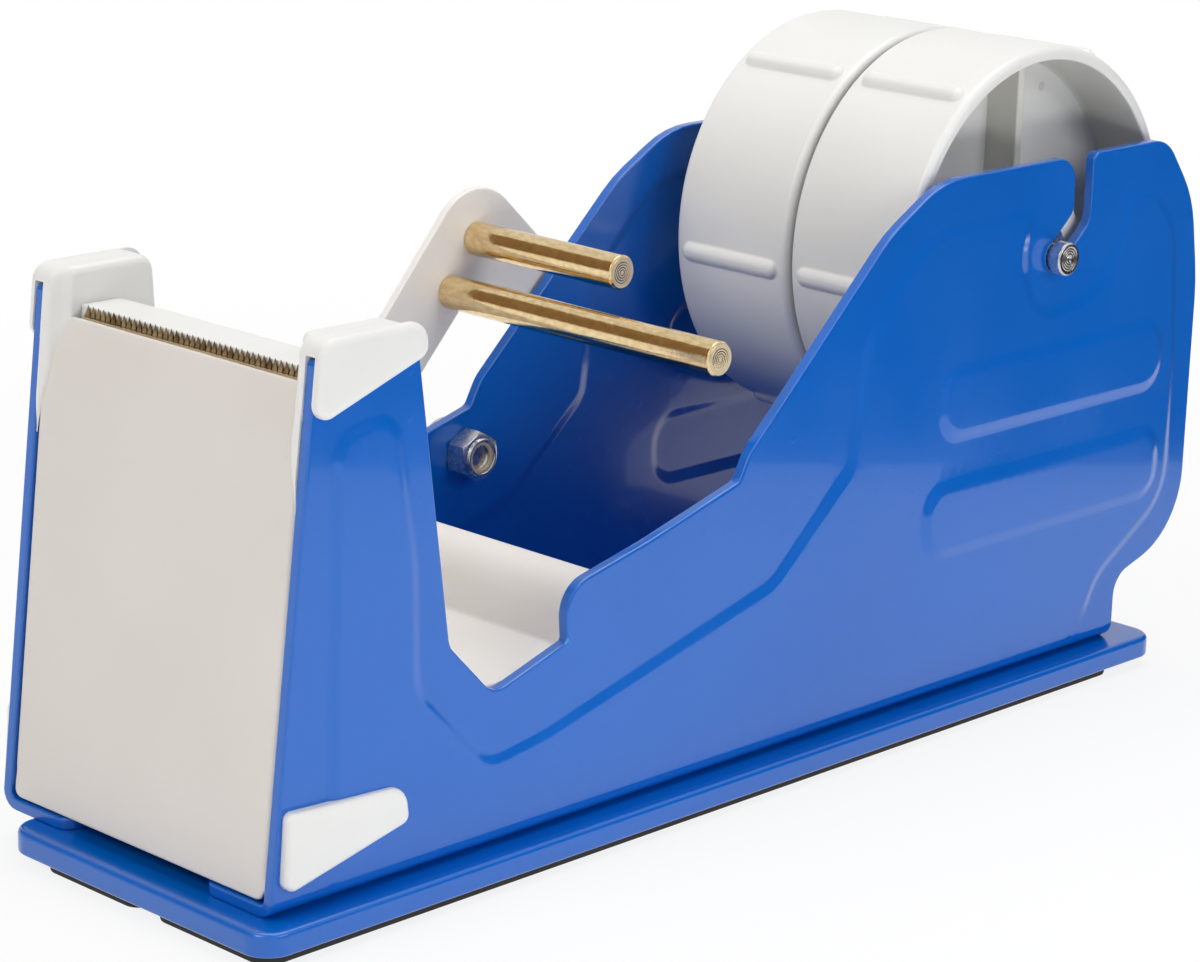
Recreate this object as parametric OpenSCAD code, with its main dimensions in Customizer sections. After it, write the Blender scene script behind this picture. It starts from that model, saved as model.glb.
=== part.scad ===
// Twin-roll tape dispenser: two pressed steel side panels on a base plate, a cutting
// column at the front, a swinging tape guide and two core wheels on a lift-out axle.
// x runs across, y from front to rear and z up. The modules measure y from the front
// edge of the base and x from the middle between the side panels. The placed() module
// then puts the origin under the middle of the whole object, at the level it stands on.

/* [Base] */
// Length of the base plate
base_l = 222; // [216:0.5:226]
// Distance of its right edge from the middle
base_right = 37.3; // [34.5:0.1:40]
// Distance of its left edge from the middle
base_left = 26; // [24:0.5:30]
// Thickness of the base plate
base_t = 4; // [3:0.5:4.5]
// Corner radius of the base plate
base_r = 5; // [3:0.5:8]
// Thickness of the rubber strips below it
foot_t = 2; // [1.5:0.5:3]
// Gap between the two rubber strips
foot_gap = 3.5; // [2:0.5:8]

/* [Side panels] */
// Length from the front of the base to the rear of the panels
body_l = 232.6; // [231:0.1:233]
// Clear width between the panels
bay_w = 62; // [62:0.1:62.4]
// Sheet thickness of the panels
sheet_t = 2; // [1.6:0.1:2]
// Height of the pressed field over the rim of a panel
relief_h = 0.5; // [0.3:0.1:0.5]
// Outer radius of the bend at the foot of a panel
bend_r = 3; // [2.5:0.5:4]
// Distance of the foot flange's inner edge from the middle
flange_in = 16.5; // [14:0.5:18]

/* [Rolls] */
// Axle position from the front of the base
axle_y = 188.4; // [188:0.1:189]
// Axle height
axle_z = 82.6; // [82:0.1:83]
// Axle diameter between the panels
axle_d = 6; // [5.8:0.1:6]
// Diameter of the necks that sit in the slots
neck_d = 4.8; // [4.6:0.1:4.8]
// Width of the slots
slot_w = 5; // [5:0.1:5.2]
// Diameter of a wheel's rim
rim_d = 74; // [72:0.5:74.4]
// Circle that the grip ribs reach, which fits a 3 inch tape core
grip_d = 76.2; // [76:0.1:76.4]
// Width of a wheel's rim
wheel_w = 26.6; // [25.4:0.1:26.6]
// Gap between the two rims
wheel_gap = 1; // [1:0.1:1.4]
// Place of the left wheel's outer side, to the left of the middle
wheel_left_x = 25.1; // [25:0.1:25.2]
// Number of grip ribs on a wheel
rib_n = 6; // [4:1:8]
// Number of spokes on each side of a wheel's web
spoke_n = 3; // [2:1:6]

/* [Tape guide] */
// Pivot position from the front of the base
pivot_y = 104.6; // [104:0.1:105]
// Pivot height
pivot_z = 47.9; // [47:0.1:48.4]
// Pivot bolt diameter
bolt_d = 5; // [4:0.5:5]
// Sheet thickness of the guide bracket
bracket_t = 1.5; // [1.2:0.1:2]
// Guide rod diameter
rod_d = 6; // [5:0.5:6.4]
// Where the short rod ends, to the right of the middle
rod_short_end = 1.9; // [0:0.1:6]
// Where the long rod ends, to the right of the middle
rod_long_end = 30.3; // [26:0.1:30.5]

/* [Cutting column] */
// Slope of the column's front edge, in degrees
lean = 5.8; // [5.6:0.1:6]
// Setback of the front plate from the panels' front edges
plate_setback = 0.25; // [0.1:0.05:1]
// Height of the front plate's upper edge
plate_top = 86.65; // [86:0.05:86.8]
// Radius of the front plate's roll back towards the blade
roll_r = 40; // [30:1:60]
// Where that roll starts, measured along the column
roll_low = 73.8; // [70:0.1:76]
// Height of the tips of the teeth
tooth_top = 88.9; // [88.7:0.1:89.6]
// Distance from tooth to tooth, 20 to the inch
tooth_pitch = 1.27; // [1:0.01:2]
// Half of the blade's length
blade_half = 25.5; // [24:0.1:26.5]
// Height of the landing behind the blade
landing_z = 88.2; // [87.8:0.1:88.4]

/* [Hidden] */
$fn = 96;
eps = 0.01;
paint_blue = [0.0, 0.33, 0.72];
paint_white = [0.93, 0.92, 0.90];
moulded_white = [0.92, 0.92, 0.89];
zinc = [0.72, 0.71, 0.69];
gold = [0.83, 0.68, 0.42];
bronze = [0.52, 0.40, 0.20];
soft_black = [0.07, 0.07, 0.08];

// Levels and faces that several pieces share
base_top = foot_t + base_t;
panel_in = bay_w / 2;
panel_out = panel_in + sheet_t;
field_out = panel_out + relief_h;
panel_foot = base_top + bend_r;
base_edge = 0.8;
ease = 0.6;

// Column: its front edge, sloping back, and the layers behind it
front_foot = 4.1;
plate_t = 1;
blade_t = 0.8;
plate_bottom = 8.5;
column_top = 91;
cap_z = 94.3;
cap_in = 27;
cap_split = 84.3;
column_back = 33.6;
chute_inset = 1.6;
chute_t = 1.2;

// Outline of a side panel: y, z and the radius of each corner
PANEL = [
    [front_y(panel_foot), panel_foot, 0], [front_y(column_top), column_top, 1],
    [column_back, column_top, 1], [41, 41.5, 4], [50.6, 31.7, 4], [66.7, 36.8, 0.6],
    [66, 45.5, 6], [85, 49.9, 60], [106.3, 55.9, 2], [108.8, 60.6, 8],
    [142.3, 92.4, 26], [156, 100.2, 22], [198.2, 100.2, 0], [220.5, 100.2, 8],
    [229.6, 88.4, 22], [body_l, 72, 40], [body_l, 23.6, 16], [213, 17.8, 5],
    [213, panel_foot, 0]];
// Outline of the field that is pressed outwards, open at the foot
FIELD = [
    [16.6, panel_foot, 0], [17.4, 78.4, 4], [28.8, 81, 4.5], [33.3, 56, 40],
    [33.9, 35.8, 8], [49.2, 20.4, 7], [62, 22.4, 30], [115.4, 36.4, 10],
    [134.4, 53.4, 4], [137.4, 75.6, 14], [153, 91.2, 16], [217, 91.2, 9],
    [224, 82.8, 12], [226.3, 58, 40], [226.3, 31.6, 12], [206.5, 19.5, 12],
    [196.4, panel_foot, 0]];
// Two long ribs that stand over the field
UPPER_RIB = [[158, 54.2, 5], [221.4, 54.2, 5], [221.4, 66, 5], [158, 66, 5]];
LOWER_RIB = [[154.7, 33, 5.5], [222, 33, 5], [222, 45.6, 5], [154.7, 45.6, 5.5]];
// Flat surround of the axle slot, which the field leaves out
SURROUND = [
    [189, 110, 0], [178.2, 83.5, 10], [183.5, 72, 8], [199, 73, 9], [206.3, 81, 8],
    [219, 110, 0]];

// Dog-leg slot: up from the seat along a slope, then straight up
slot_turn = 9.7;
slot_slope = 41;
slot_y = axle_y + slot_turn * cos(slot_slope);
slot_left_r = 5;
slot_right_r = 1.8;
slot_inner_r = 3;
slot_outer_r = 4;

// Axle stack, outwards from the middle
head_l = 2.4;
side_gap = 0.3;
collar_d = 11.5;
collar_t = 1;
collar_out = panel_in - side_gap;
head_in = field_out + side_gap;
run_gap = 0.05;
hub_d = 24;
hub_proud = 0.3;
rim_t = 2.5;
web_t = 2;
rib_d = 4;
rib_l = 23;
spoke_h = 6.5;
spoke_t = 2;
wheel_right_x = wheel_w - wheel_left_x + wheel_gap;
first_rib = 5;
first_spoke = 90;

// Guide: bracket between the washer and the bolt's head
washer_t = 0.7;
turn_gap = 0.1;
bracket_in = panel_out + washer_t + turn_gap;
bracket_out = bracket_in + bracket_t;
BRACKET = [[59.4, 41, 14], [170.9, 41, 14], [109, 98.7, 10.2]];
WINDOW = [[82, 46.5, 2.5], [128.8, 60.5, 2.5], [110.4, 77.7, 3.5]];
ROD_SHORT = [109.5, 85.3];
ROD_LONG = [103.5, 76.6];
spigot_d = 4;
rivet_d = 5.4;
rivet_h = 0.5;
bolt_head_d = 11;
bolt_head_h = 2.4;
bolt_socket = 3;
nut_af = 8;
nut_h = 4.4;
nut_ring_h = 0.6;

// Foot screws through the flanges
SCREW_Y = [30, 112, 200];
screw_x = 21.5;
screw_d = 3;
screw_head_d = 5.6;
screw_head_h = 1.9;
peg_d = 4;
PEG = [18, 17.4];

left_most = -(bracket_out + turn_gap + bolt_head_h);
mid_x = (left_most + base_right) / 2;

// y of the column's front edge at the height z
function front_y(z) = front_foot + z * tan(lean);
// y of the column's rear edge at the height z
function back_y(z) = column_back + (column_top - z) * (41 - column_back) / (column_top - 41.5);
function unit(v) = v / norm(v);
// Arc of radius r at the corner b between a and c, or b itself where r is 0
function corner(a, b, c, r) =
    let (u = unit(a - b), v = unit(c - b), half = acos(max(-1, min(1, u * v))) / 2)
    let (centre = b + unit(u + v) * r / sin(half), reach = r / tan(half))
    let (p = b + u * reach - centre, q = b + v * reach - centre)
    let (start = atan2(p.y, p.x), turn = (atan2(q.y, q.x) - start + 540) % 360 - 180)
    let (steps = max(2, ceil(abs(turn) / 10)))
    [for (i = [0 : steps]) centre + r * [cos(start + turn * i / steps),
        sin(start + turn * i / steps)]];
function flat(p) = [p[0], p[1]];
// Closed outline with its corners rounded
function rounded(pts) = let (n = len(pts)) [for (i = [0 : n - 1])
    each pts[i][2] == 0 ? [flat(pts[i])] : corner(flat(pts[(i + n - 1) % n]),
        flat(pts[i]), flat(pts[(i + 1) % n]), pts[i][2])];
// Open path with its inner corners rounded
function bent(pts) = let (n = len(pts)) [for (i = [0 : n - 1])
    each (i == 0 || i == n - 1 || pts[i][2] == 0) ? [flat(pts[i])] :
        corner(flat(pts[i - 1]), flat(pts[i]), flat(pts[i + 1]), pts[i][2])];
function right_of(d) = [d.y, -d.x];
// Normal at point i of a path, long enough to keep the offset even round a bend
function mitre(path, i) =
    let (last = len(path) - 1)
    let (a = unit(path[max(1, i)] - path[max(0, i - 1)]))
    let (b = unit(path[min(last, i + 1)] - path[min(last - 1, i)]))
    let (m = unit(right_of(a) + right_of(b)))
    m / (m * right_of(a));
// Outline of a sheet of thickness t that follows a path, on its right-hand side
function ribbon(path, t) = concat(path,
    [for (i = [len(path) - 1 : -1 : 0]) path[i] + t * mitre(path, i)]);

// Moves a finished piece from the drawing's zero to the object's own origin
module placed() translate([-mid_x, -body_l / 2, 0]) children();
// Extrudes a side view, drawn in y and z, from x0 to x1
module across(x0, x1) translate([x0, 0, 0]) rotate([90, 0, 90]) linear_extrude(x1 - x0) children();
// Round bar along x
module bar(x0, x1, y, z, d) translate([x0, y, z]) rotate([0, 90, 0]) cylinder(h = x1 - x0, d = d);
// Turned part: a profile in radius and distance, spun about the line through y and z
module turned(y, z) translate([0, y, z]) rotate([0, 90, 0]) rotate([0, 0, 90]) rotate_extrude() children();
// Frame that leans with the column: x across, y back from its front edge, z along it
module leaning() translate([0, front_foot, 0]) rotate([-lean, 0, 0]) children();
module on_left() mirror([1, 0, 0]) children();

module base_outline(inset) polygon(rounded([
    [-base_left + inset, inset, base_r - inset], [base_right - inset, inset, base_r - inset],
    [base_right - inset, base_l - inset, base_r - inset],
    [-base_left + inset, base_l - inset, base_r - inset]]));

module base_plate() placed() color(paint_blue) difference() {
    union() {
        translate([0, 0, foot_t]) linear_extrude(base_t - base_edge) base_outline(0);
        translate([0, 0, base_top - base_edge]) linear_extrude(base_edge) base_outline(ease);
    }
    for (side = [-1, 1], y = SCREW_Y)
        translate([side * screw_x, y, foot_t - 1]) cylinder(h = base_t + 2, d = screw_d);
}

// Rubber strip from x0 to x1, set in from the edges of the base
module foot_strip(x0, x1) linear_extrude(foot_t) polygon(rounded([
    [x0, 3, 3], [x1, 3, 3], [x1, strip_end, 3], [x0, strip_end, 3]]));
foot_split = (base_right - base_left) / 2 + 1;
strip_end = base_l - 11.5;
module foot_strip_left() placed() color(soft_black)
    foot_strip(-base_left + 7, foot_split - foot_gap / 2);
module foot_strip_right() placed() color(soft_black)
    foot_strip(foot_split + foot_gap / 2, base_right - 3.3);

// Height of the slot's sloping wall at y, above the middle line for side 1 and below for -1
function slot_wall(y, side) =
    axle_z + (y - axle_y) * tan(slot_slope) + side * slot_w / 2 / cos(slot_slope);
// Corner of the slot's seat end
function slot_end(side) = [axle_y - side * slot_w / 2 * sin(slot_slope),
    axle_z + side * slot_w / 2 * cos(slot_slope), 0];
module slot_shape() let (left = slot_y - slot_w / 2, right = slot_y + slot_w / 2) {
    translate([axle_y, axle_z]) circle(d = slot_w);
    polygon(rounded([[left, 110, 0], [left, slot_wall(left, 1), slot_inner_r], slot_end(1),
        slot_end(-1), [right, slot_wall(right, -1), slot_outer_r], [right, 110, 0]]));
}
// Rounds the two corners where the slot meets the top edge
module slot_mouth(side, r) translate([slot_y + side * (slot_w / 2 + r), 100.2 - r]) difference() {
    translate([side > 0 ? -r - eps : 0, 0]) square([r + eps, r + 1]);
    circle(r = r);
}
module panel_shape() difference() {
    polygon(rounded(PANEL));
    slot_shape();
    slot_mouth(-1, slot_left_r);
    slot_mouth(1, slot_right_r);
}
module field_shape() difference() {
    intersection() {
        polygon(rounded(FIELD));
        panel_shape();
    }
    polygon(rounded(SURROUND));
}
module rib_shapes() {
    polygon(rounded(UPPER_RIB));
    polygon(rounded(LOWER_RIB));
}
module foot_flange() {
    translate([0, front_y(panel_foot), 0]) rotate([90, 0, 0]) mirror([0, 0, 1])
        linear_extrude(213 - front_y(panel_foot)) translate([panel_out - bend_r, panel_foot])
            intersection() {
                difference() {
                    circle(r = bend_r);
                    circle(r = bend_r - sheet_t);
                }
                translate([0, -bend_r]) square(bend_r);
            }
    translate([0, 0, base_top]) linear_extrude(sheet_t) polygon(rounded([
        [flange_in, front_y(panel_foot), 3], [panel_out - bend_r, front_y(panel_foot), 0],
        [panel_out - bend_r, 213, 0], [flange_in, 213, 3]]));
}
// The right panel; the left one is its mirror image
module panel() difference() {
    union() {
        across(panel_in, panel_out) panel_shape();
        across(panel_in + relief_h, field_out) field_shape();
        across(panel_in + 2 * relief_h, field_out + relief_h) rib_shapes();
        foot_flange();
    }
    across(panel_in - eps, panel_in + relief_h) field_shape();
    across(panel_in, panel_in + 2 * relief_h) rib_shapes();
    bar(panel_in - 1, field_out + 1, PEG.x, PEG.y, peg_d);
    for (y = SCREW_Y) translate([screw_x, y, base_top - 1]) cylinder(h = sheet_t + 2, d = screw_d + 0.4);
}
module side_panel_right() placed() color(paint_blue) panel();
module side_panel_left() placed() color(paint_blue) difference() {
    on_left() panel();
    bar(-panel_out - 1, -panel_in + 1, pivot_y, pivot_z, bolt_d + 0.3);
}

module base_screws() placed() color(zinc) for (side = [-1, 1], y = SCREW_Y)
    translate([side * screw_x, y, 0]) difference() {
        union() {
            translate([0, 0, foot_t + 0.3]) cylinder(h = base_t + sheet_t, d = screw_d);
            translate([0, 0, base_top + sheet_t]) cylinder(h = screw_head_h, d = screw_head_d);
        }
        translate([0, 0, base_top + sheet_t + 0.7]) cylinder(h = 2, d = 2.3, $fn = 6);
    }

// White front of the column: bent back along both panels and rolled back at its top.
// Its side view is drawn as depth behind the panels' front edges and height along them.
plate_flange = 11.6;
roll_turn = asin((plate_top - roll_low * cos(lean) + sin(lean) * (plate_setback + roll_r)) / roll_r)
    - lean;
PLATE_FACE = concat([[plate_setback, plate_bottom]], [for (i = [0 : 8])
    let (a = roll_turn * i / 8)
    [plate_setback + roll_r * (1 - cos(a)), roll_low + roll_r * sin(a)]]);
PLATE_BACK = [for (i = [0 : len(PLATE_FACE) - 1]) PLATE_FACE[i] + plate_t * mitre(PLATE_FACE, i)];
roll_end = PLATE_BACK[len(PLATE_BACK) - 1];
module front_plate() placed() color(paint_white) leaning() difference() {
    intersection() {
        across(-panel_in, panel_in) polygon(concat(PLATE_FACE,
            [roll_end, [plate_flange, roll_end.y], [plate_flange, plate_bottom]]));
        linear_extrude(100) polygon(rounded([[-panel_in, plate_flange + 1, 0],
            [-panel_in, plate_setback, 1.2], [panel_in, plate_setback, 1.2],
            [panel_in, plate_flange + 1, 0]]));
        translate([0, 20, 0]) rotate([90, 0, 0]) linear_extrude(20) polygon(rounded([
            [-panel_in, plate_bottom, 3], [panel_in, plate_bottom, 3],
            [panel_in, 100, 0], [-panel_in, 100, 0]]));
    }
    across(-panel_in + plate_t, panel_in - plate_t) polygon(concat(
        [PLATE_BACK[0] - [0, 1]], PLATE_BACK,
        [roll_end + [0, 1], [plate_flange + 1, roll_end.y + 1], [plate_flange + 1, plate_bottom - 1]]));
    for (side = [-1, 1]) translate([side * (cap_in + 10) - 10, -1, cap_split / cos(lean)])
        cube([20, 15, 10]);
}

layer = roll_end.x;
blade_low = 79.5;
blade_root = 87.4;
BLADE_PEG = [18, 82.4];
module landing_block() placed() color(moulded_white) {
    across(-cap_in, cap_in) landing_side(landing_z);
    across(-panel_in + plate_t, panel_in - plate_t) intersection() {
        landing_side(landing_z);
        square([60, cap_split]);
    }
    for (side = [-1, 1]) leaning() translate([side * BLADE_PEG.x, layer + 2 * blade_t, BLADE_PEG.y])
        rotate([90, 0, 0]) cylinder(h = 2 * blade_t, d = 3);
}
// Side view of the landing: flat behind the blade, then sloping down to the rear
module landing_side(top) polygon(rounded([
    [front_y(80) + (layer + blade_t) / cos(lean), 80, 0],
    [front_y(top) + (layer + blade_t) / cos(lean), top, 0],
    [24.8, top, 4], [33.2, 85.2, 1], [33.2, 80, 0]]));

tooth_n = floor(2 * blade_half / tooth_pitch);
module blade() placed() color(bronze) leaning()
    translate([0, layer + blade_t, 0]) rotate([90, 0, 0]) linear_extrude(blade_t) difference() {
        polygon(concat([[-blade_half, blade_low], [blade_half, blade_low]],
            [for (i = [tooth_n - 1 : -1 : 0], e = [1, 0.5, 0])
                [(i + e - tooth_n / 2) * tooth_pitch,
                    (e == 0.5 ? tooth_top : blade_root) / cos(lean)]]));
        for (side = [-1, 1]) translate([side * BLADE_PEG.x, BLADE_PEG.y]) circle(d = 3);
    }

// Moulded cap over the top of the right side of the column, with a leg in front of the plate
cap_flap_t = 1.6;
cap_lap = 0.25;
function cap_y(z) = front_y(z) - cap_lap / cos(lean);
CAP_FLAP = [[cap_y(81), 81, 2.5], [34.9, 89, 2], [34.4, cap_z, 3.4], [cap_y(cap_z), cap_z, 3.2]];
CAP_BLOCK = [[cap_y(cap_split), cap_split, 0], [33.1, cap_split, 0],
    [32.2, cap_z, 3], [cap_y(cap_z), cap_z, 3.2]];
// Plan of its inner half, flaring towards the blade: x and depth
CAP_PLAN = [[panel_in, -cap_lap], [29.4, -cap_lap], [28.7, 0.45], [cap_in, 2.6],
    [cap_in, 40], [panel_in, 40]];
// Heights along the column where the leg starts to thin out and where it ends
CAP_LEG = [74, 68.5];
module cap() {
    across(panel_out, panel_out + cap_flap_t) polygon(rounded(CAP_FLAP));
    across(panel_in - eps, panel_out + eps) intersection() {
        polygon(rounded(CAP_BLOCK));
        translate([0, column_top + 0.6]) square([60, 10]);
    }
    intersection() {
        across(cap_in, panel_in) polygon(rounded(CAP_BLOCK));
        leaning() linear_extrude(120) polygon(CAP_PLAN);
    }
    leaning() intersection() {
        linear_extrude(100) polygon(CAP_PLAN);
        across(cap_in, panel_in) difference() {
            polygon([[-cap_lap, CAP_LEG[0]], [plate_setback, CAP_LEG[1]], [2, CAP_LEG[1]],
                [2, (cap_split + 0.6) / cos(lean)], [-cap_lap, (cap_split + 0.6) / cos(lean)]]);
            polygon(concat(PLATE_FACE, [[9, roll_end.y], [9, plate_bottom]]));
        }
    }
}
module cap_right() placed() color(moulded_white) cap();
module cap_left() placed() color(moulded_white) on_left() cap();

bumper_t = 1.8;
BUMPER = [[6.4, 10, 1.8], [31.7, 15.9, 1.6], [30.8, 21.9, 3.6], [7.2, 23, 1.2]];
module bumper() difference() {
    union() {
        across(panel_out, panel_out + bumper_t) polygon(rounded(BUMPER));
        bar(panel_in, panel_out + eps, PEG.x, PEG.y, peg_d);
    }
    across(panel_out, field_out) intersection() {
        field_shape();
        polygon(rounded(BUMPER));
    }
}
module bumper_right() placed() color(moulded_white) bumper();
module bumper_left() placed() color(moulded_white) on_left() bumper();

// Bent sheet behind the column: down its rear, over the floor and up a short wall
CHUTE = [[back_y(80) - chute_inset, 80, 0], [39.3, 42, 8], [48.6, 32.5, 9],
    [72.6, 33, 0.8], [75, 41.6, 9], [81.2, 44.7, 1.5], [82.8, 38, 0]];
module inner_chute() placed() color(paint_white)
    across(-panel_in, panel_in) polygon(ribbon(bent(CHUTE), chute_t));

// Three-cornered frame outside the left panel that carries the two guide rods
module guide_bracket() placed() color(paint_white) difference() {
    across(-bracket_out, -bracket_in) difference() {
        polygon(rounded(BRACKET));
        polygon(rounded(WINDOW));
    }
    bar(-bracket_out - 1, -bracket_in + 1, pivot_y, pivot_z, bolt_d + 2 * run_gap);
    for (p = [ROD_SHORT, ROD_LONG]) bar(-bracket_out - 1, -bracket_in + 1, p.x, p.y, spigot_d);
}
// Rod whose spigot goes through the bracket and is peened over behind it
module guide_rod(p, end) turned(p.x, p.y) polygon([
    [0, -bracket_out - rivet_h], [rivet_d / 2 - 0.3, -bracket_out - rivet_h],
    [rivet_d / 2, -bracket_out - rivet_h / 2], [rivet_d / 2, -bracket_out],
    [spigot_d / 2, -bracket_out], [spigot_d / 2, -bracket_in], [rod_d / 2, -bracket_in],
    [rod_d / 2, end - 0.3], [rod_d / 2 - 0.3, end], [0, end]]);
module guide_rod_short() placed() color(gold) guide_rod(ROD_SHORT, rod_short_end);
module guide_rod_long() placed() color(gold) guide_rod(ROD_LONG, rod_long_end);

head_face = -bracket_out - turn_gap;
module pivot_bolt() placed() color(zinc) difference() {
    turned(pivot_y, pivot_z) polygon(rounded([
        [0, head_face - bolt_head_h, 0], [bolt_head_d / 2 - 1.4, head_face - bolt_head_h, 1.6],
        [bolt_head_d / 2, head_face, 0.3], [bolt_d / 2, head_face, 0],
        [bolt_d / 2, -panel_in + nut_h + nut_ring_h - 1, 0.4],
        [0, -panel_in + nut_h + nut_ring_h - 1, 0]]));
    across(head_face - bolt_head_h - 1, head_face - 0.9) translate([pivot_y, pivot_z])
        circle(d = bolt_socket / cos(30), $fn = 6);
}
module pivot_nut() placed() color(zinc) difference() {
    union() {
        across(-panel_in, -panel_in + nut_h) translate([pivot_y, pivot_z]) rotate(30)
            circle(d = nut_af / cos(30), $fn = 6);
        turned(pivot_y, pivot_z) polygon([[bolt_d / 2, -panel_in + nut_h - eps],
            [nut_af / 2 - 0.2, -panel_in + nut_h - eps],
            [nut_af / 2 - 0.5, -panel_in + nut_h + nut_ring_h - 0.4],
            [nut_af / 2 - 1, -panel_in + nut_h + nut_ring_h],
            [bolt_d / 2, -panel_in + nut_h + nut_ring_h]]);
    }
    bar(-panel_in - 1, -panel_in + 9, pivot_y, pivot_z, bolt_d);
}
module pivot_washer() placed() color(zinc) difference() {
    bar(-panel_out - washer_t, -panel_out, pivot_y, pivot_z, 10);
    bar(-panel_out - 2, -panel_out + 1, pivot_y, pivot_z, bolt_d + 0.3);
}

module axle() placed() color(zinc) turned(axle_y, axle_z) polygon(rounded([
    [0, -head_in - head_l, 0], [axle_d / 2, -head_in - head_l, 0.4],
    [axle_d / 2, -head_in, 0], [neck_d / 2, -head_in, 0],
    [neck_d / 2, -collar_out, 0], [axle_d / 2, -collar_out, 0],
    [axle_d / 2, collar_out, 0], [neck_d / 2, collar_out, 0],
    [neck_d / 2, head_in, 0], [axle_d / 2, head_in, 0],
    [axle_d / 2, head_in + head_l, 0.4], [0, head_in + head_l, 0]]));
module ring(x0, x1, outer, inner) difference() {
    bar(x0, x1, axle_y, axle_z, outer);
    bar(x0 - 1, x1 + 1, axle_y, axle_z, inner);
}
module axle_collar_right() placed() color(zinc) ring(collar_out - collar_t, collar_out, collar_d, axle_d);
module axle_collar_left() placed() color(zinc) ring(-collar_out, -collar_out + collar_t, collar_d, axle_d);
module axle_spacer() placed() color(moulded_white)
    ring(-collar_out + collar_t + side_gap, -wheel_left_x - 2 * hub_proud, 9.5, axle_d);

// Core wheel in two nodes: the rim with its grip ribs, and the web with hub and spokes
rim_r = rim_d / 2;
rim_in = rim_r - rim_t;
module wheel_rim(x0) {
    turned(axle_y, axle_z) translate([0, x0]) polygon(rounded([
        [rim_in, 0, 0.7], [rim_r, 0, 1.6], [rim_r, wheel_w, 1.6], [rim_in, wheel_w, 0.7]]));
    for (i = [0 : rib_n - 1])
        translate([x0 + wheel_w / 2, axle_y, axle_z]) rotate([first_rib + i * 360 / rib_n, 0, 0])
            grip_rib();
}
module wheel_core(x0) {
    hub_r = hub_d / 2;
    web_a = (wheel_w - web_t) / 2;
    web_b = web_a + web_t;
    bore_r = axle_d / 2 + run_gap;
    turned(axle_y, axle_z) translate([0, x0]) polygon(rounded([
        [bore_r, -hub_proud, 0], [hub_r, -hub_proud, 1], [hub_r, web_a, 0.8], [rim_in, web_a, 0],
        [rim_in, web_b, 0], [hub_r, web_b, 0.8], [hub_r, wheel_w + hub_proud, 1],
        [bore_r, wheel_w + hub_proud, 0]]));
    intersection() {
        bar(x0, x0 + wheel_w, axle_y, axle_z, 2 * rim_in);
        for (i = [0 : spoke_n - 1])
            translate([x0 + wheel_w / 2, axle_y, axle_z]) rotate([first_spoke + i * 360 / spoke_n, 0, 0])
                translate([-web_t / 2 - spoke_h, hub_r - 1, -spoke_t / 2])
                    cube([web_t + 2 * spoke_h, rim_in - hub_r + 2, spoke_t]);
    }
}
// Rib with round ends that stands out of the rim and is sunk into it
module grip_rib() translate([0, (grip_d - rib_d) / 2, 0]) {
    rotate([0, 90, 0]) cylinder(h = rib_l - rib_d, d = rib_d, center = true);
    for (side = [-1, 1]) translate([side * (rib_l - rib_d) / 2, 0, 0]) sphere(d = rib_d);
}
module wheel_left_rim() placed() color(moulded_white) wheel_rim(-wheel_left_x);
module wheel_left_core() placed() color(moulded_white) wheel_core(-wheel_left_x);
module wheel_right_rim() placed() color(moulded_white) wheel_rim(wheel_right_x);
module wheel_right_core() placed() color(moulded_white) wheel_core(wheel_right_x);

base_plate();
foot_strip_left();
foot_strip_right();
side_panel_left();
side_panel_right();
base_screws();
front_plate();
landing_block();
blade();
cap_left();
cap_right();
bumper_left();
bumper_right();
inner_chute();
guide_bracket();
guide_rod_short();
guide_rod_long();
pivot_bolt();
pivot_nut();
pivot_washer();
axle();
axle_collar_left();
axle_collar_right();
axle_spacer();
wheel_left_rim();
wheel_left_core();
wheel_right_rim();
wheel_right_core();
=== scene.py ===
# Looks for the twin-roll tape dispenser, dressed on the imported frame.
# Lengths are millimetres in the drawing's own zero: x from the middle between the side
# panels, y back from the front edge of the base, z up from the surface it stands on.
# place() turns them into the frame's metres.
from math import acos, atan2, ceil, copysign, cos, degrees, hypot, pi, radians, sin, sqrt, tan

import bmesh
import bpy
import numpy as np
from mathutils import Matrix, Vector
from mathutils.geometry import delaunay_2d_cdt
from mathutils.kdtree import KDTree


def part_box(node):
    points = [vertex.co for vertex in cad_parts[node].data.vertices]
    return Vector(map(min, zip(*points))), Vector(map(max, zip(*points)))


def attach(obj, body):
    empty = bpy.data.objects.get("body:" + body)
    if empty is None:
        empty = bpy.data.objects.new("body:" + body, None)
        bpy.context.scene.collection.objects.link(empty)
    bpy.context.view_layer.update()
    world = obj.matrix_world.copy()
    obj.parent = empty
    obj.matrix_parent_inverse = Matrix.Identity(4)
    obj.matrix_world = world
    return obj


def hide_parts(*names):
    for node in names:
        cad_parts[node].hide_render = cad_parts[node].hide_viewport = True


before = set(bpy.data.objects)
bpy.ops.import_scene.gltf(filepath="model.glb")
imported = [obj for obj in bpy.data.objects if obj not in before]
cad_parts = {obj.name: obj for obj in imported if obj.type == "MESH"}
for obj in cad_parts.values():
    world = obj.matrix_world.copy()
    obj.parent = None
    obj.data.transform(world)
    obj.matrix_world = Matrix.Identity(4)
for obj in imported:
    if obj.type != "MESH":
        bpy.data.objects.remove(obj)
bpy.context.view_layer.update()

MM = 0.001
BASE_LEFT, BASE_RIGHT, BASE_L = 26.0, 37.3, 222.0
base_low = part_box("base_plate")[0]
ZERO = np.array([base_low[0] + BASE_LEFT * MM, base_low[1], 0.0])

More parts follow.
